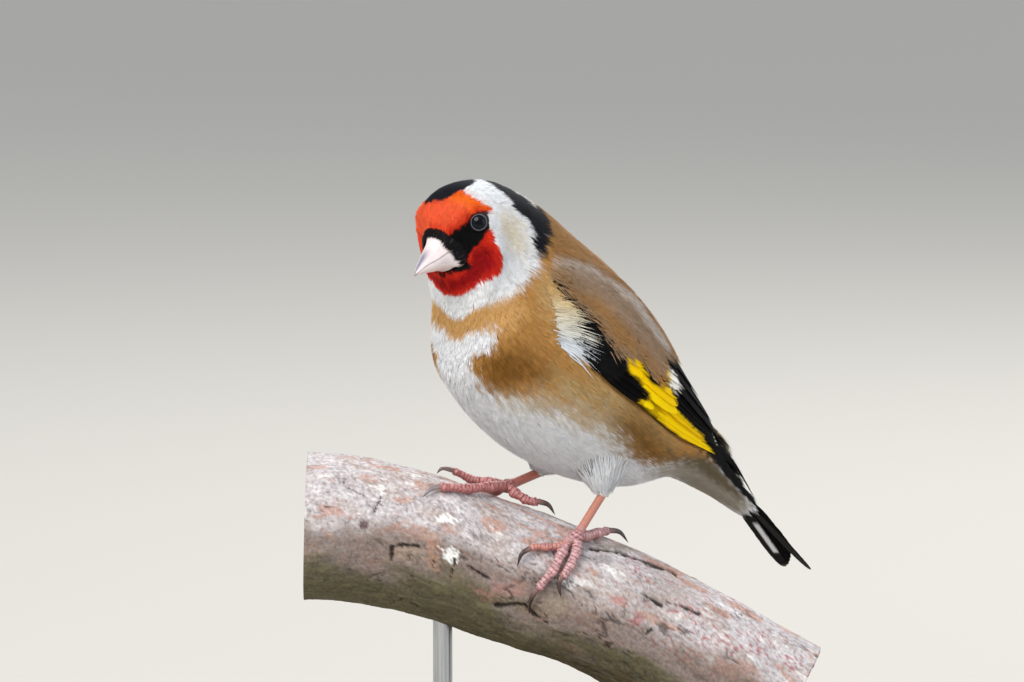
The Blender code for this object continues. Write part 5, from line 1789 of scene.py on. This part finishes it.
def makeBristles(side):
    look = bristleLook
    count = look["count"] // 1
    angle = draw.uniform(*look["angles"], count)
    reach = mix(*look["length"], between(angle, 20.0, 45.0, 88.0, 104.0)) * draw.uniform(0.6, 1.1, count)
    around = np.radians(angle) * side
    alongRoot = draw.uniform(0.004, 0.03, count)
    root = bodyPoint(alongRoot, around, -0.2)
    stations = np.array([billBase(around)] + billRings(around))
    target = curve(billShares, stations.reshape(len(stations), -1), [0.42])[0].reshape(count, 3)
    droop = np.array((0.0, 0.0, -0.55))
    way = unit(unit(target - root) + droop * draw.uniform(0.2, 1.0, count)[:, None])
    normal = formDirections(alongRoot, around)[2]
    middle = root + way * (reach * 0.55)[:, None] + normal * (0.42 + 0.1 * draw.random(count))[:, None]
    tip = root + way * reach[:, None] + normal * (0.35 + 0.15 * draw.random(count))[:, None]
    points = np.stack([root, middle, tip], axis=1)
    normals = np.repeat(normal[:, None], 3, axis=1)
    colour = np.tile(tone(look["colour"]), (count, 1)) * draw.uniform(0.6, 1.6, count)[:, None]
    pale = draw.random(count) < look["paleShare"]
    colour[pale & (angle > 25.0)] = tone(look["pale"])
    tints = np.stack([colour * 0.7, colour, colour * 1.5], axis=1)
    half = np.full(count, look["halfWidth"])
    bake = np.stack([around / (2 * math.pi) + 0.5, alongRoot], axis=-1)
    name = "coat_bristles_" + ("left" if side > 0 else "right")
    bladePiece(name, points, normals, half, bladeThickness, tints, bake)


makeBristles(1)
makeBristles(-1)
say("bill")


def sweep(path, radii, sides, flat=1.0, up=(0.0, 0.0, 1.0)):
    # Rings round a path. radii: rows x sides. flat squeezes them sideways to the bend.
    tangent = unit(np.gradient(path, axis=0))
    sideways = unit(np.cross(tangent, up))
    over = np.cross(sideways, tangent)
    turn = np.linspace(0, 2 * math.pi, sides, endpoint=False)
    out = np.cos(turn)[None, :, None] * over[:, None]
    out = out + flat * np.sin(turn)[None, :, None] * sideways[:, None]
    return path[:, None] + out * radii[..., None], turn


def smoothPath(points, count):
    points = np.asarray(points, float)
    places = np.concatenate([[0.0], np.cumsum(np.linalg.norm(np.diff(points, axis=0), axis=1))])
    at = np.linspace(0.0, places[-1], count)
    return curve(places, points, at), at, places[-1]


# The branch: its middle line and radius in the photo's own directions, and slow waves in the bark.
branchLook = {
    "heading": math.radians(52.0),
    "toward": -0.8,
    "stations": (
        (-56.0, -30.2, 15.2),
        (-40.0, -31.0, 14.8),
        (-26.0, -34.0, 14.3),
        (-12.0, -39.5, 13.9),
        (4.0, -45.2, 13.8),
        (24.0, -54.7, 13.8),
        (50.0, -68.8, 13.4),
    ),
    "ends": (-52.0, 46.0),
    "waves": ((3, 0.11, 0.20), (5, -0.17, 0.15), (2, 0.23, 0.16), (8, 0.07, 0.09), (0, 0.31, 0.12)),
    "seed": 7,
    "rows": 320,
    "sides": 290,
}
branchSource = random.Random(branchLook["seed"])
branchPhases = [branchSource.uniform(0.0, 2.0 * math.pi) for _ in branchLook["waves"]]
branchRight = np.array((math.cos(branchLook["heading"]), math.sin(branchLook["heading"]), 0.0))
branchToward = np.array((math.sin(branchLook["heading"]), -math.cos(branchLook["heading"]), 0.0))


def branchMiddle(along):
    stations = np.array(branchLook["stations"])
    values = curve(stations[:, 0], stations[:, 1:], along)
    return values[:, 0], values[:, 1]


def branchSlope(along):
    return np.arctan2(branchMiddle(along)[0] - branchMiddle(along + 0.5)[0], 0.5)


def branchPoint(along, around, height=0.0):
    # around is 0 on the crest and a quarter turn on the side toward the viewer
    along, around, height = (np.atleast_1d(value).astype(float) for value in (along, around, height))
    middle, radius = branchMiddle(along)
    relief = sum(
        depth * np.sin(lobes * around + pitch * along + phase)
        for (lobes, pitch, depth), phase in zip(branchLook["waves"], branchPhases)
    )
    reach = radius + relief + height
    rise = middle + reach * np.cos(around) / np.cos(branchSlope(along))
    sideStep = branchLook["toward"] + reach * np.sin(around)
    level = branchRight * along[:, None] + branchToward * sideStep[:, None]
    return level + np.array((0.0, 0.0, 1.0)) * rise[:, None]


# Feet and legs, by each toe's way over the branch: place along, degrees from the crest and height of the
# middle line over the bark. The last three points are the claw's.
toePlaces = {
    "left": {
        "inner": (
            (-0.2, 48, 1.5), (-2.8, 52, 1.35), (-4.8, 55, 1.25), (-6.0, 58, 1.4), (-7.8, 65, 1.4),
            (-8.7, 75, 0.55),
        ),
        "middle": (
            (1.2, 44, 1.6), (-0.9, 66, 1.4), (-3.6, 82, 1.3), (-4.6, 87, 1.4), (-5.9, 96, 1.3),
            (-6.3, 109, 0.55),
        ),
        "outer": (
            (3.4, 46, 1.6), (2.4, 58, 1.4), (1.2, 68, 1.35), (0.35, 72.2, 1.62), (-0.2, 79, 1.32),
            (0.2, 87, 0.55),
        ),
        "hind": (
            (5.6, 27, 1.5), (7.4, 19, 1.5), (8.8, 11, 1.3), (9.6, 6, 1.6), (12.2, -2, 1.9), (14.0, -9, 0.6)
        ),
    },
    "right": {
        "inner": (
            (-14.0, -5, 2.4), (-17.6, -9, 1.5), (-20.2, -7, 1.6), (-21.8, -4, 1.9), (-24.0, 4, 1.7),
            (-25.2, 12, 0.6),
        ),
        "middle": (
            (-14.0, 8, 1.9), (-17.2, 22, 1.45), (-20.6, 31, 1.3), (-24.4, 36, 1.35), (-26.4, 41, 1.3),
            (-28.0, 48, 0.6),
        ),
        "outer": (
            (-13.2, -24, 1.9), (-15.6, -36, 1.45), (-17.6, -45, 1.35), (-19.2, -52, 1.5),
            (-20.6, -60, 1.3), (-21.2, -69, 0.6),
        ),
        "hind": (
            (-9.0, -1, 1.9), (-7.2, 0, 1.45), (-5.6, 0, 1.4), (-4.6, 1, 1.9), (-2.4, 2, 2.0),
            (-1.0, 3, 0.6),
        ),
    },
}
footLook = {
    "toeRadii": (1.12, 0.84),
    "scutePitch": 0.80,
    "scuteDepth": 0.14,
    "padDepth": 0.24,
    "knuckle": 0.09,
    "tarsusRadius": 1.02,
    "sides": 24,
    "rows": 150,
    "slender": {("left", "inner"): 0.82, ("right", "inner"): 0.9},
}
# Scaled skin of the legs: pink horn plates over redder skin, a little waxy.
scaleMaterial = bareSkin("scaled leg skin", 0.37, 0.4)


# Claw horn: dark, hard and glossy, paler where it leaves the toe.
clawLook = {
    "rows": 60,
    "sides": 20,
    "radii": (0.62, 0.54, 0.36, 0.10),
    "grain": 0.4,
    "root": "#94706a",
    "horn": "#3f2d29",
    ("left", "hind"): "#4b4142",
    ("right", "inner"): "#8b7770",
    ("right", "middle"): "#857d7f",
    ("right", "hind"): "#4a3430",
}


def darkHorn(look):
    material, tree, shader = newMaterial("dark claw horn", 0.25, 0.5, Coat_Weight=0.3, Coat_Roughness=0.15)
    shadeTint(tree, shader, objectNoise(tree, look["grain"], Detail=2.0), (0.3, 0.7), (0.8, 1.2))
    return material


clawMaterial = darkHorn(clawLook)


class Shells:
    # Gathers closed shells with vertex tints into one piece.
    def __init__(self):
        self.points, self.faces, self.tints = [], [], []
        self.total = 0

    def add(self, rings, tints):
        points, faces = loftTube(rings)
        centre = points.mean(axis=0)
        flat = tints.reshape(-1, 3)
        self.faces.append(outward(points - centre, faces) + self.total)
        self.points.append(points)
        self.tints.append(np.concatenate([flat, flat[:1], flat[-1:]]))
        self.total += len(points)

    def make(self, name, material):
        points, faces, tints = map(np.concatenate, (self.points, self.faces, self.tints))
        return meshPiece(name, points, faces, material, tints)


def scuteWave(distance, pitch):
    # A row of overlapping plates: rises slowly, then drops at each plate's end.
    phase = (distance / pitch + 0.12 * np.sin(distance * 2.3 / pitch)) % 1.0
    return smoothStep(0.0, 0.22, phase) * (1.0 - smoothStep(0.88, 1.0, phase))


def toeColours(wave, top, red):
    # The grooves between plates are dark red: redder skin, darkened further as painted shade in the creases.
    ridge = mix(tone("#deb6b8"), tone("#cd807a"), red)
    groove = mix(tone("#6d2d32"), tone("#6a1d22"), red)
    colour = mix(groove, ridge, wave[..., None])
    return mix(colour, mix(tone("#b07a78"), tone("#a3524c"), red), (0.6 * (1.0 - top))[..., None])


def toeMiddle(side, toe):
    points = np.array(toePlaces[side][toe])
    return branchPoint(points[:, 0], np.radians(points[:, 1]), points[:, 2])


def makeFoot(side, red):
    look = footLook
    joint = np.array(legPlaces[side]["joint"])
    shells = Shells()
    for number, toe in enumerate(toePlaces[side]):
        path, at, length = smoothPath(np.vstack([joint, toeMiddle(side, toe)[:-2]]), look["rows"])
        base = mix(*look["toeRadii"], at / length) * look["slender"].get((side, toe), 1.0)
        turn = np.linspace(0, 2 * math.pi, look["sides"], endpoint=False)
        top = smoothStep(-0.5, 0.3, np.cos(turn))[None, :] + 0 * at[:, None]
        # the plates are uneven: their edges lean and wander round the toe
        plain, _ = sweep(path, base[:, None] + 0 * top, look["sides"])
        rough = roughNoise(plain.reshape(-1, 3), 1.1, 41 + number).reshape(top.shape)
        fine = roughNoise(plain.reshape(-1, 3), 0.4, 51).reshape(top.shape)
        reach = at[:, None] + number * 0.37 + 0.16 * np.sin(turn)[None] + 0.13 * rough
        wave = scuteWave(reach, look["scutePitch"])
        plate = np.sin(np.floor(at / look["scutePitch"])[:, None] * 12.9 + number) * 437.5 % 1.0
        pads = 0.5 + 0.5 * np.cos(2 * math.pi * at / (length / 3.0))
        knuckles = look["knuckle"] * (pads[:, None] ** 3 - 0.4)
        plates = look["scuteDepth"] * wave * (0.35 + 0.65 * top)
        soles = look["padDepth"] * pads[:, None] * (1.0 - top)
        radii = base[:, None] * (0.88 + plates + soles + knuckles + 0.07 * rough + 0.04 * fine)
        radii[-6:] *= np.linspace(1.0, 0.55, 6)[:, None]
        rings, _ = sweep(path, radii, look["sides"])
        blotch = 0.5 + 0.5 * roughNoise(rings.reshape(-1, 3), 1.3, 41).reshape(top.shape)
        warm = 0.35 if (side, toe) == ("left", "inner") else 0.0
        shade = toeColours(wave * (0.72 + 0.28 * blotch), top, min(red + warm, 1.0))
        shade = mix(shade, tone("#cf8460"), warm * 1.4 * blotch[..., None])
        shade = shade * (0.80 + 0.18 * blotch + 0.10 * plate)[..., None] * (1.0 + 0.12 * fine[..., None])
        shells.add(rings, shade)
    # the pad where the toes meet
    ball = np.linspace(0.06, math.pi - 0.06, 26)
    rings = joint + 1.5 * np.stack(
        [
            np.sin(ball)[:, None] * np.cos(turn)[None],
            np.sin(ball)[:, None] * np.sin(turn)[None],
            np.cos(ball)[:, None] + 0 * turn[None],
        ],
        axis=-1,
    )
    bumps = 0.5 + 0.5 * np.sin(9 * ball)[:, None] * np.cos(5 * turn)[None]
    shells.add(rings, toeColours(bumps, np.ones_like(bumps), red))
    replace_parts(shells.make("toes_" + side, scaleMaterial), "foot_" + side)


def makeLeg(side, red):
    look = footLook
    leg = legPlaces[side]
    joint, heel = np.array(leg["joint"]), np.array(leg["heel"])
    length = np.linalg.norm(heel - joint)
    at = np.linspace(0.0, length - leg["bareFrom"] + 1.2, 170)
    way = unit(heel - joint)
    path = joint + at[:, None] * way
    turn = np.linspace(0, 2 * math.pi, 32, endpoint=False)
    swell = 1.0 + 0.42 * np.exp(-((at / 1.3) ** 2))
    swell = swell + 0.12 * smoothStep(length - leg["bareFrom"] - 1.0, length, at)
    front = smoothStep(-0.3, 0.6, np.cos(turn - 0.6))[None, :]
    wave = scuteWave(-at, 1.25)[:, None]
    near = np.exp(-((at / 2.6) ** 2))[:, None]
    radii = look["tarsusRadius"] * swell[:, None] * (0.97 + (0.035 + 0.08 * near) * wave * front)
    rings, _ = sweep(path, radii, 32, 0.86, up=unit(np.cross(way, viewRight)))
    colour = mix(tone("#c28a7b"), tone("#b9605a"), red) + 0 * radii[..., None]
    # The scutes on one side of the tarsus are paler, partly their own colour and partly a painted highlight;
    # the other side is warmer orange.
    colour = mix(colour, tone("#d9b9b1"), 0.6 * (wave * front)[..., None])
    colour = mix(colour, tone("#bd7659"), 0.5 * (1.0 - front)[..., None] + 0 * wave[..., None])
    colour = mix(colour, toeColours(wave * np.ones_like(front), front + 0 * wave, red), near[..., None])
    shells = Shells()
    shells.add(rings, colour)
    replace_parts(shells.make("tarsus_" + side, scaleMaterial), "leg_" + side)


def makeClaw(side, toe):
    look = clawLook
    rows, sides = look["rows"], look["sides"]
    path, at, length = smoothPath(toeMiddle(side, toe)[-3:], rows)
    share = at / length
    radii = curve(np.linspace(0, 1, 4), look["radii"], share)[:, 0]
    radii = radii * np.sqrt(np.maximum(1.0 - share**8, 0.02))
    way = unit(path[-1] - path[0])
    bend = unit(path[len(path) // 2] - (path[0] + path[-1]) / 2.0 + 1e-6)
    up = unit(bend - way * (bend @ way))
    rings, _ = sweep(path, radii[:, None] * np.ones((1, sides)), sides, 0.8, up=up)
    horn = tone(look.get((side, toe), look["horn"]))
    colour = mix(mix(tone(look["root"]), horn, 0.3), horn, smoothStep(0.0, 0.4, share)[:, None])
    colour = mix(colour, horn * 0.45, smoothStep(0.6, 1.0, share)[:, None])
    shells = Shells()
    shells.add(rings, np.repeat(colour[:, None], sides, axis=1))
    label = "claw_%s_%s" % (side, toe)
    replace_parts(shells.make("horn_" + label, clawMaterial), label)


for side, red in (("left", 0.15), ("right", 0.75)):
    makeFoot(side, red)
    makeLeg(side, red)
    for toe in toePlaces[side]:
        makeClaw(side, toe)
say("feet")


# Bark: dry, rough and matt. Vertex tints give its patches, cracks, moss and painted shade, nodes its grain
# and pits.
barkLook = {"grain": 0.714, "relief": 0.25, "gives": (0.72, 1.25)}


def dryBark(look):
    material, tree, shader = newMaterial("dry lichened bark", 0.88, 0.25)
    grain = objectNoise(tree, look["grain"], Detail=6.0, Roughness=0.65)
    relieve(tree, shader, grain, 0.7, look["relief"])
    shadeTint(tree, shader, grain, (0.3, 0.7), look["gives"])
    return material


def noiseField(points, size, kind="noise", octaves=3):
    scaled = points / size
    if kind == "noise":
        return np.array([noise.fractal(Vector(p), 0.7, 2.0, octaves) for p in scaled])
    near = np.array([noise.voronoi(Vector(p))[0][:2] for p in scaled])
    return near[:, 1] - near[:, 0]


# Marks of the bark where the photo shows them, in its pixels. Spots: middle, reach across and down, colour
# and strength. Cracks: a line and its half width.
barkSpots = (
    ((447, 517), (11, 6), "#f3f3f1", 0.95),
    ((440, 528), (4, 4), "#4a4340", 0.8),
    ((435, 552), (7, 16), "#b98a70", 0.45),
    ((450, 556), (8, 8), "#efeeeb", 0.95),
    ((405, 553), (14, 8), "#a8917c", 0.5),
    ((485, 539), (6, 4), "#77706f", 0.6),
    ((364, 524), (4, 4), "#4b2a2c", 0.8),
    ((500, 590), (20, 8), "#ac7a72", 0.5),
    ((572, 582), (11, 6), "#dedddb", 0.8),
    ((600, 561), (10, 6), "#8a8587", 0.7),
    ((550, 606), (22, 13), "#998a76", 0.5),
    ((620, 547), (28, 4), "#6f6c58", 0.6),
    ((637, 619), (7, 5), "#b8626a", 0.7),
    ((619, 599), (7, 5), "#b56a70", 0.6),
    ((655, 600), (34, 22), "#96877c", 0.5),
)
barkCracks = (
    (((391, 560), (392, 547), (405, 544), (419, 546)), 1.6),
    (((467, 566), (477, 571), (490, 580)), 1.3),
    (((455, 560), (451, 577)), 1.0),
    (((374, 511), (381, 497)), 1.0),
    (((635, 589), (647, 596), (661, 605)), 1.5),
    (((666, 602), (682, 606), (700, 614)), 1.2),
    (((645, 635), (652, 629)), 1.4),
    (((495, 606), (525, 604), (534, 616), (547, 623)), 1.4),
    (((590, 548), (618, 552), (648, 562), (676, 574)), 1.2),
)


def lineAway(points, line):
    # How far points are from the nearest part of an open line.
    line = np.asarray(line, float)
    away = np.full(len(points), 1e9)
    for start, end in zip(line[:-1], line[1:]):
        edge = end - start
        share = np.clip(((points - start) @ edge) / (edge @ edge), 0.0, 1.0)
        away = np.minimum(away, np.linalg.norm(points - start - share[:, None] * edge, axis=1))
    return away


def makePerch():
    look = branchLook
    rows, sides = ((look["rows"], look["sides"]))
    share = np.linspace(0.0, 1.0, rows)
    along = np.repeat(mix(*look["ends"], share), sides)
    around = np.tile(np.linspace(0, 2 * math.pi, sides, endpoint=False), rows)
    square = np.maximum(0.0, np.abs(2.0 * np.repeat(share, sides) - 1.0) * 3.0 - 2.0)
    along = along + square * np.cos(around) * look["stations"][0][2] * np.sin(branchSlope(along))
    smooth = branchPoint(along, around, np.zeros(len(along)))
    # the space that the noise is read in runs slower along the branch, so cracks follow it
    flat = np.stack([along * 0.42, np.cos(around) * 14.0, np.sin(around) * 14.0], axis=-1)
    slow = noiseField(flat + 31.0, 9.0)
    patch = noiseField(flat + 7.0, 4.0)
    fine = noiseField(flat + 3.0, 1.3)
    crackLines = noiseField(flat + 2.2 * patch[:, None], 5.2, "cells")
    crack = 1.0 - smoothStep(0.010, 0.050, crackLines)
    crack *= 0.7 * smoothStep(0.10, 0.40, noiseField(flat + 50.0, 6.0))
    pits = noiseField(flat * (2.0, 1.0, 1.0) + 90.0, 1.6, "cells")
    pit = (1.0 - smoothStep(0.04, 0.13, pits)) * smoothStep(0.25, 0.6, noiseField(flat + 12.0, 3.0)) * 0.7
    speckle = noiseField(flat * (1.6, 1.0, 1.0) + 17.0, 0.55, octaves=2)
    pixels = onPhoto(smooth)
    near = np.sin(around + 0.05) > 0.0
    split = np.zeros(len(along))
    for line, half in barkCracks:
        away = lineAway(pixels, line) + 1.6 * fine + 1.2 * speckle
        split = np.maximum(split, (1.0 - smoothStep(half * 0.5, half * 1.3, away)) * near)
    crack = np.maximum(crack, split)
    height = 0.20 * slow + 0.16 * patch + 0.12 * fine - 0.42 * crack - 0.14 * pit
    points = branchPoint(along, around, height)
    # colour: grey over pink and tan on top, then darker toward the underside, brown below and moss green
    # underneath: painted shade over the bark's own colours
    under = 0.5 - 0.5 * np.cos(around + 0.25)
    rust = noiseField(flat + 22.0, 3.4)
    flecks = smoothStep(0.22, 0.4, speckle) * smoothStep(0.05, 0.3, -rust) * smoothStep(0.0, 22.0, along)
    lichen = smoothStep(0.50, 0.58, noiseField(flat + 64.0, 2.4))
    washes = (
        ("#b3a29b", smoothStep(-0.1, 0.35, patch) * 0.7, 0.0),
        ("#d3d0d1", smoothStep(0.05, 0.4, -fine) * 0.6, 0.0),
        ("#8d807a", smoothStep(0.12, 0.45, speckle) * 0.6, 0.0),
        ("#dedadb", smoothStep(0.15, 0.45, -speckle) * 0.38, 0.0),
        ("#b8836c", smoothStep(0.26, 0.5, rust) * 0.55, 0.0),
        ("#b4555a", flecks * 0.6, 0.0),
        ("#eceae8", lichen * 0.6, 0.0),
        ("#77655a", smoothStep(0.42, 0.62, under + 0.10 * slow) * 0.8, 0.35),
        ("#50512f", smoothStep(0.66, 0.85, under + 0.16 * slow) * 0.75, 0.4),
    )
    colour = np.tile(tone("#bdb6b8"), (len(along), 1))
    for hexColour, amount, uneven in washes:
        colour = mix(colour, tone(hexColour) * (1.0 + uneven * fine[:, None]), amount[:, None])
    frayed = 0.9 * fine + 0.8 * speckle + 0.5 * patch
    for (x, y), (wide, high), hexColour, strength in barkSpots:
        away = np.hypot((pixels[:, 0] - x) / wide, (pixels[:, 1] - y) / high) + frayed
        spot = (1.0 - smoothStep(0.55, 1.15, away)) * near * strength
        colour = mix(colour, tone(hexColour), spot[:, None])
    # Painted shade: the cracks and pits are darkened where they sink in.
    colour = mix(colour, tone("#2b2320"), np.clip(crack * 0.95 + pit * 0.6, 0, 1)[:, None])
    whole, faces = loftTube(points.reshape(rows, sides, 3))
    tints = np.concatenate([colour, [tone("#b79a78")] * 2])
    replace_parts(meshPiece("bark", whole, faces, dryBark(barkLook), tints), "perch")


makePerch()
say("branch")


# Oiled walnut: warm brown with long dark grain, a soft satin gloss from the oil. The grain is 4 mm wide.
walnutLook = {
    "grainWidth": 4.274,
    "stretch": 9.0,
    "colours": ((0.32, "#38220f"), (0.5, "#5b3a26"), (0.68, "#7a5334")),
    "relief": 0.2,
}
# Brushed steel: fine lines along the rod spread its reflections. The brush's real lines are finer than the
# render can show.
steelLook = {
    "lineWidth": 0.3333, "run": 0.02, "colours": ((0.3, "#a6a8ab"), (0.7, "#c8cacc")), "relief": 0.02
}
edgeLook = {"width": 0.3, "segments": 2, "sharpFrom": 35.0}


def grained(look, grain, tree, shader, strength):
    # Colours and raises a surface by one grain.
    colour = ramp(tree, grain, [(at, tone(hexColour)) for at, hexColour in look["colours"]])
    tree.links.new(colour, shader.inputs["Base Color"])
    relieve(tree, shader, grain, strength, look["relief"])


def oiledWalnut(look):
    material, tree, shader = newMaterial("oiled walnut", 0.38, 0.45)
    long = look["stretch"]
    grain = objectNoise(tree, look["grainWidth"] * long, (1.0, long, long), Detail=6.0, Distortion=1.2)
    grained(look, grain, tree, shader, 0.15)
    return material


def brushedSteel(look):
    material, tree, shader = newMaterial("brushed steel", 0.32, 0.5, Metallic=1.0, Anisotropic=0.4)
    lines = objectNoise(tree, look["lineWidth"], (1.0, 1.0, look["run"]), Detail=2.0)
    grained(look, lines, tree, shader, 0.2)
    return material


def dressStand(look):
    steel = brushedSteel(steelLook)
    finishes = {"stand_base": oiledWalnut(walnutLook), "stand_rod_front": steel, "stand_rod_back": steel}
    for name, material in finishes.items():
        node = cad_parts[name]
        node.data.materials.clear()
        node.data.materials.append(material)
        rounded = node.modifiers.new("worn edge", "BEVEL")
        rounded.width = look["width"] * 0.001
        rounded.segments = look["segments"]
        rounded.limit_method = "ANGLE"
        for face in node.data.polygons:
            face.use_smooth = True
        node.data.set_sharp_from_angle(angle=math.radians(look["sharpFrom"]))


dressStand(edgeLook)
say("stand")
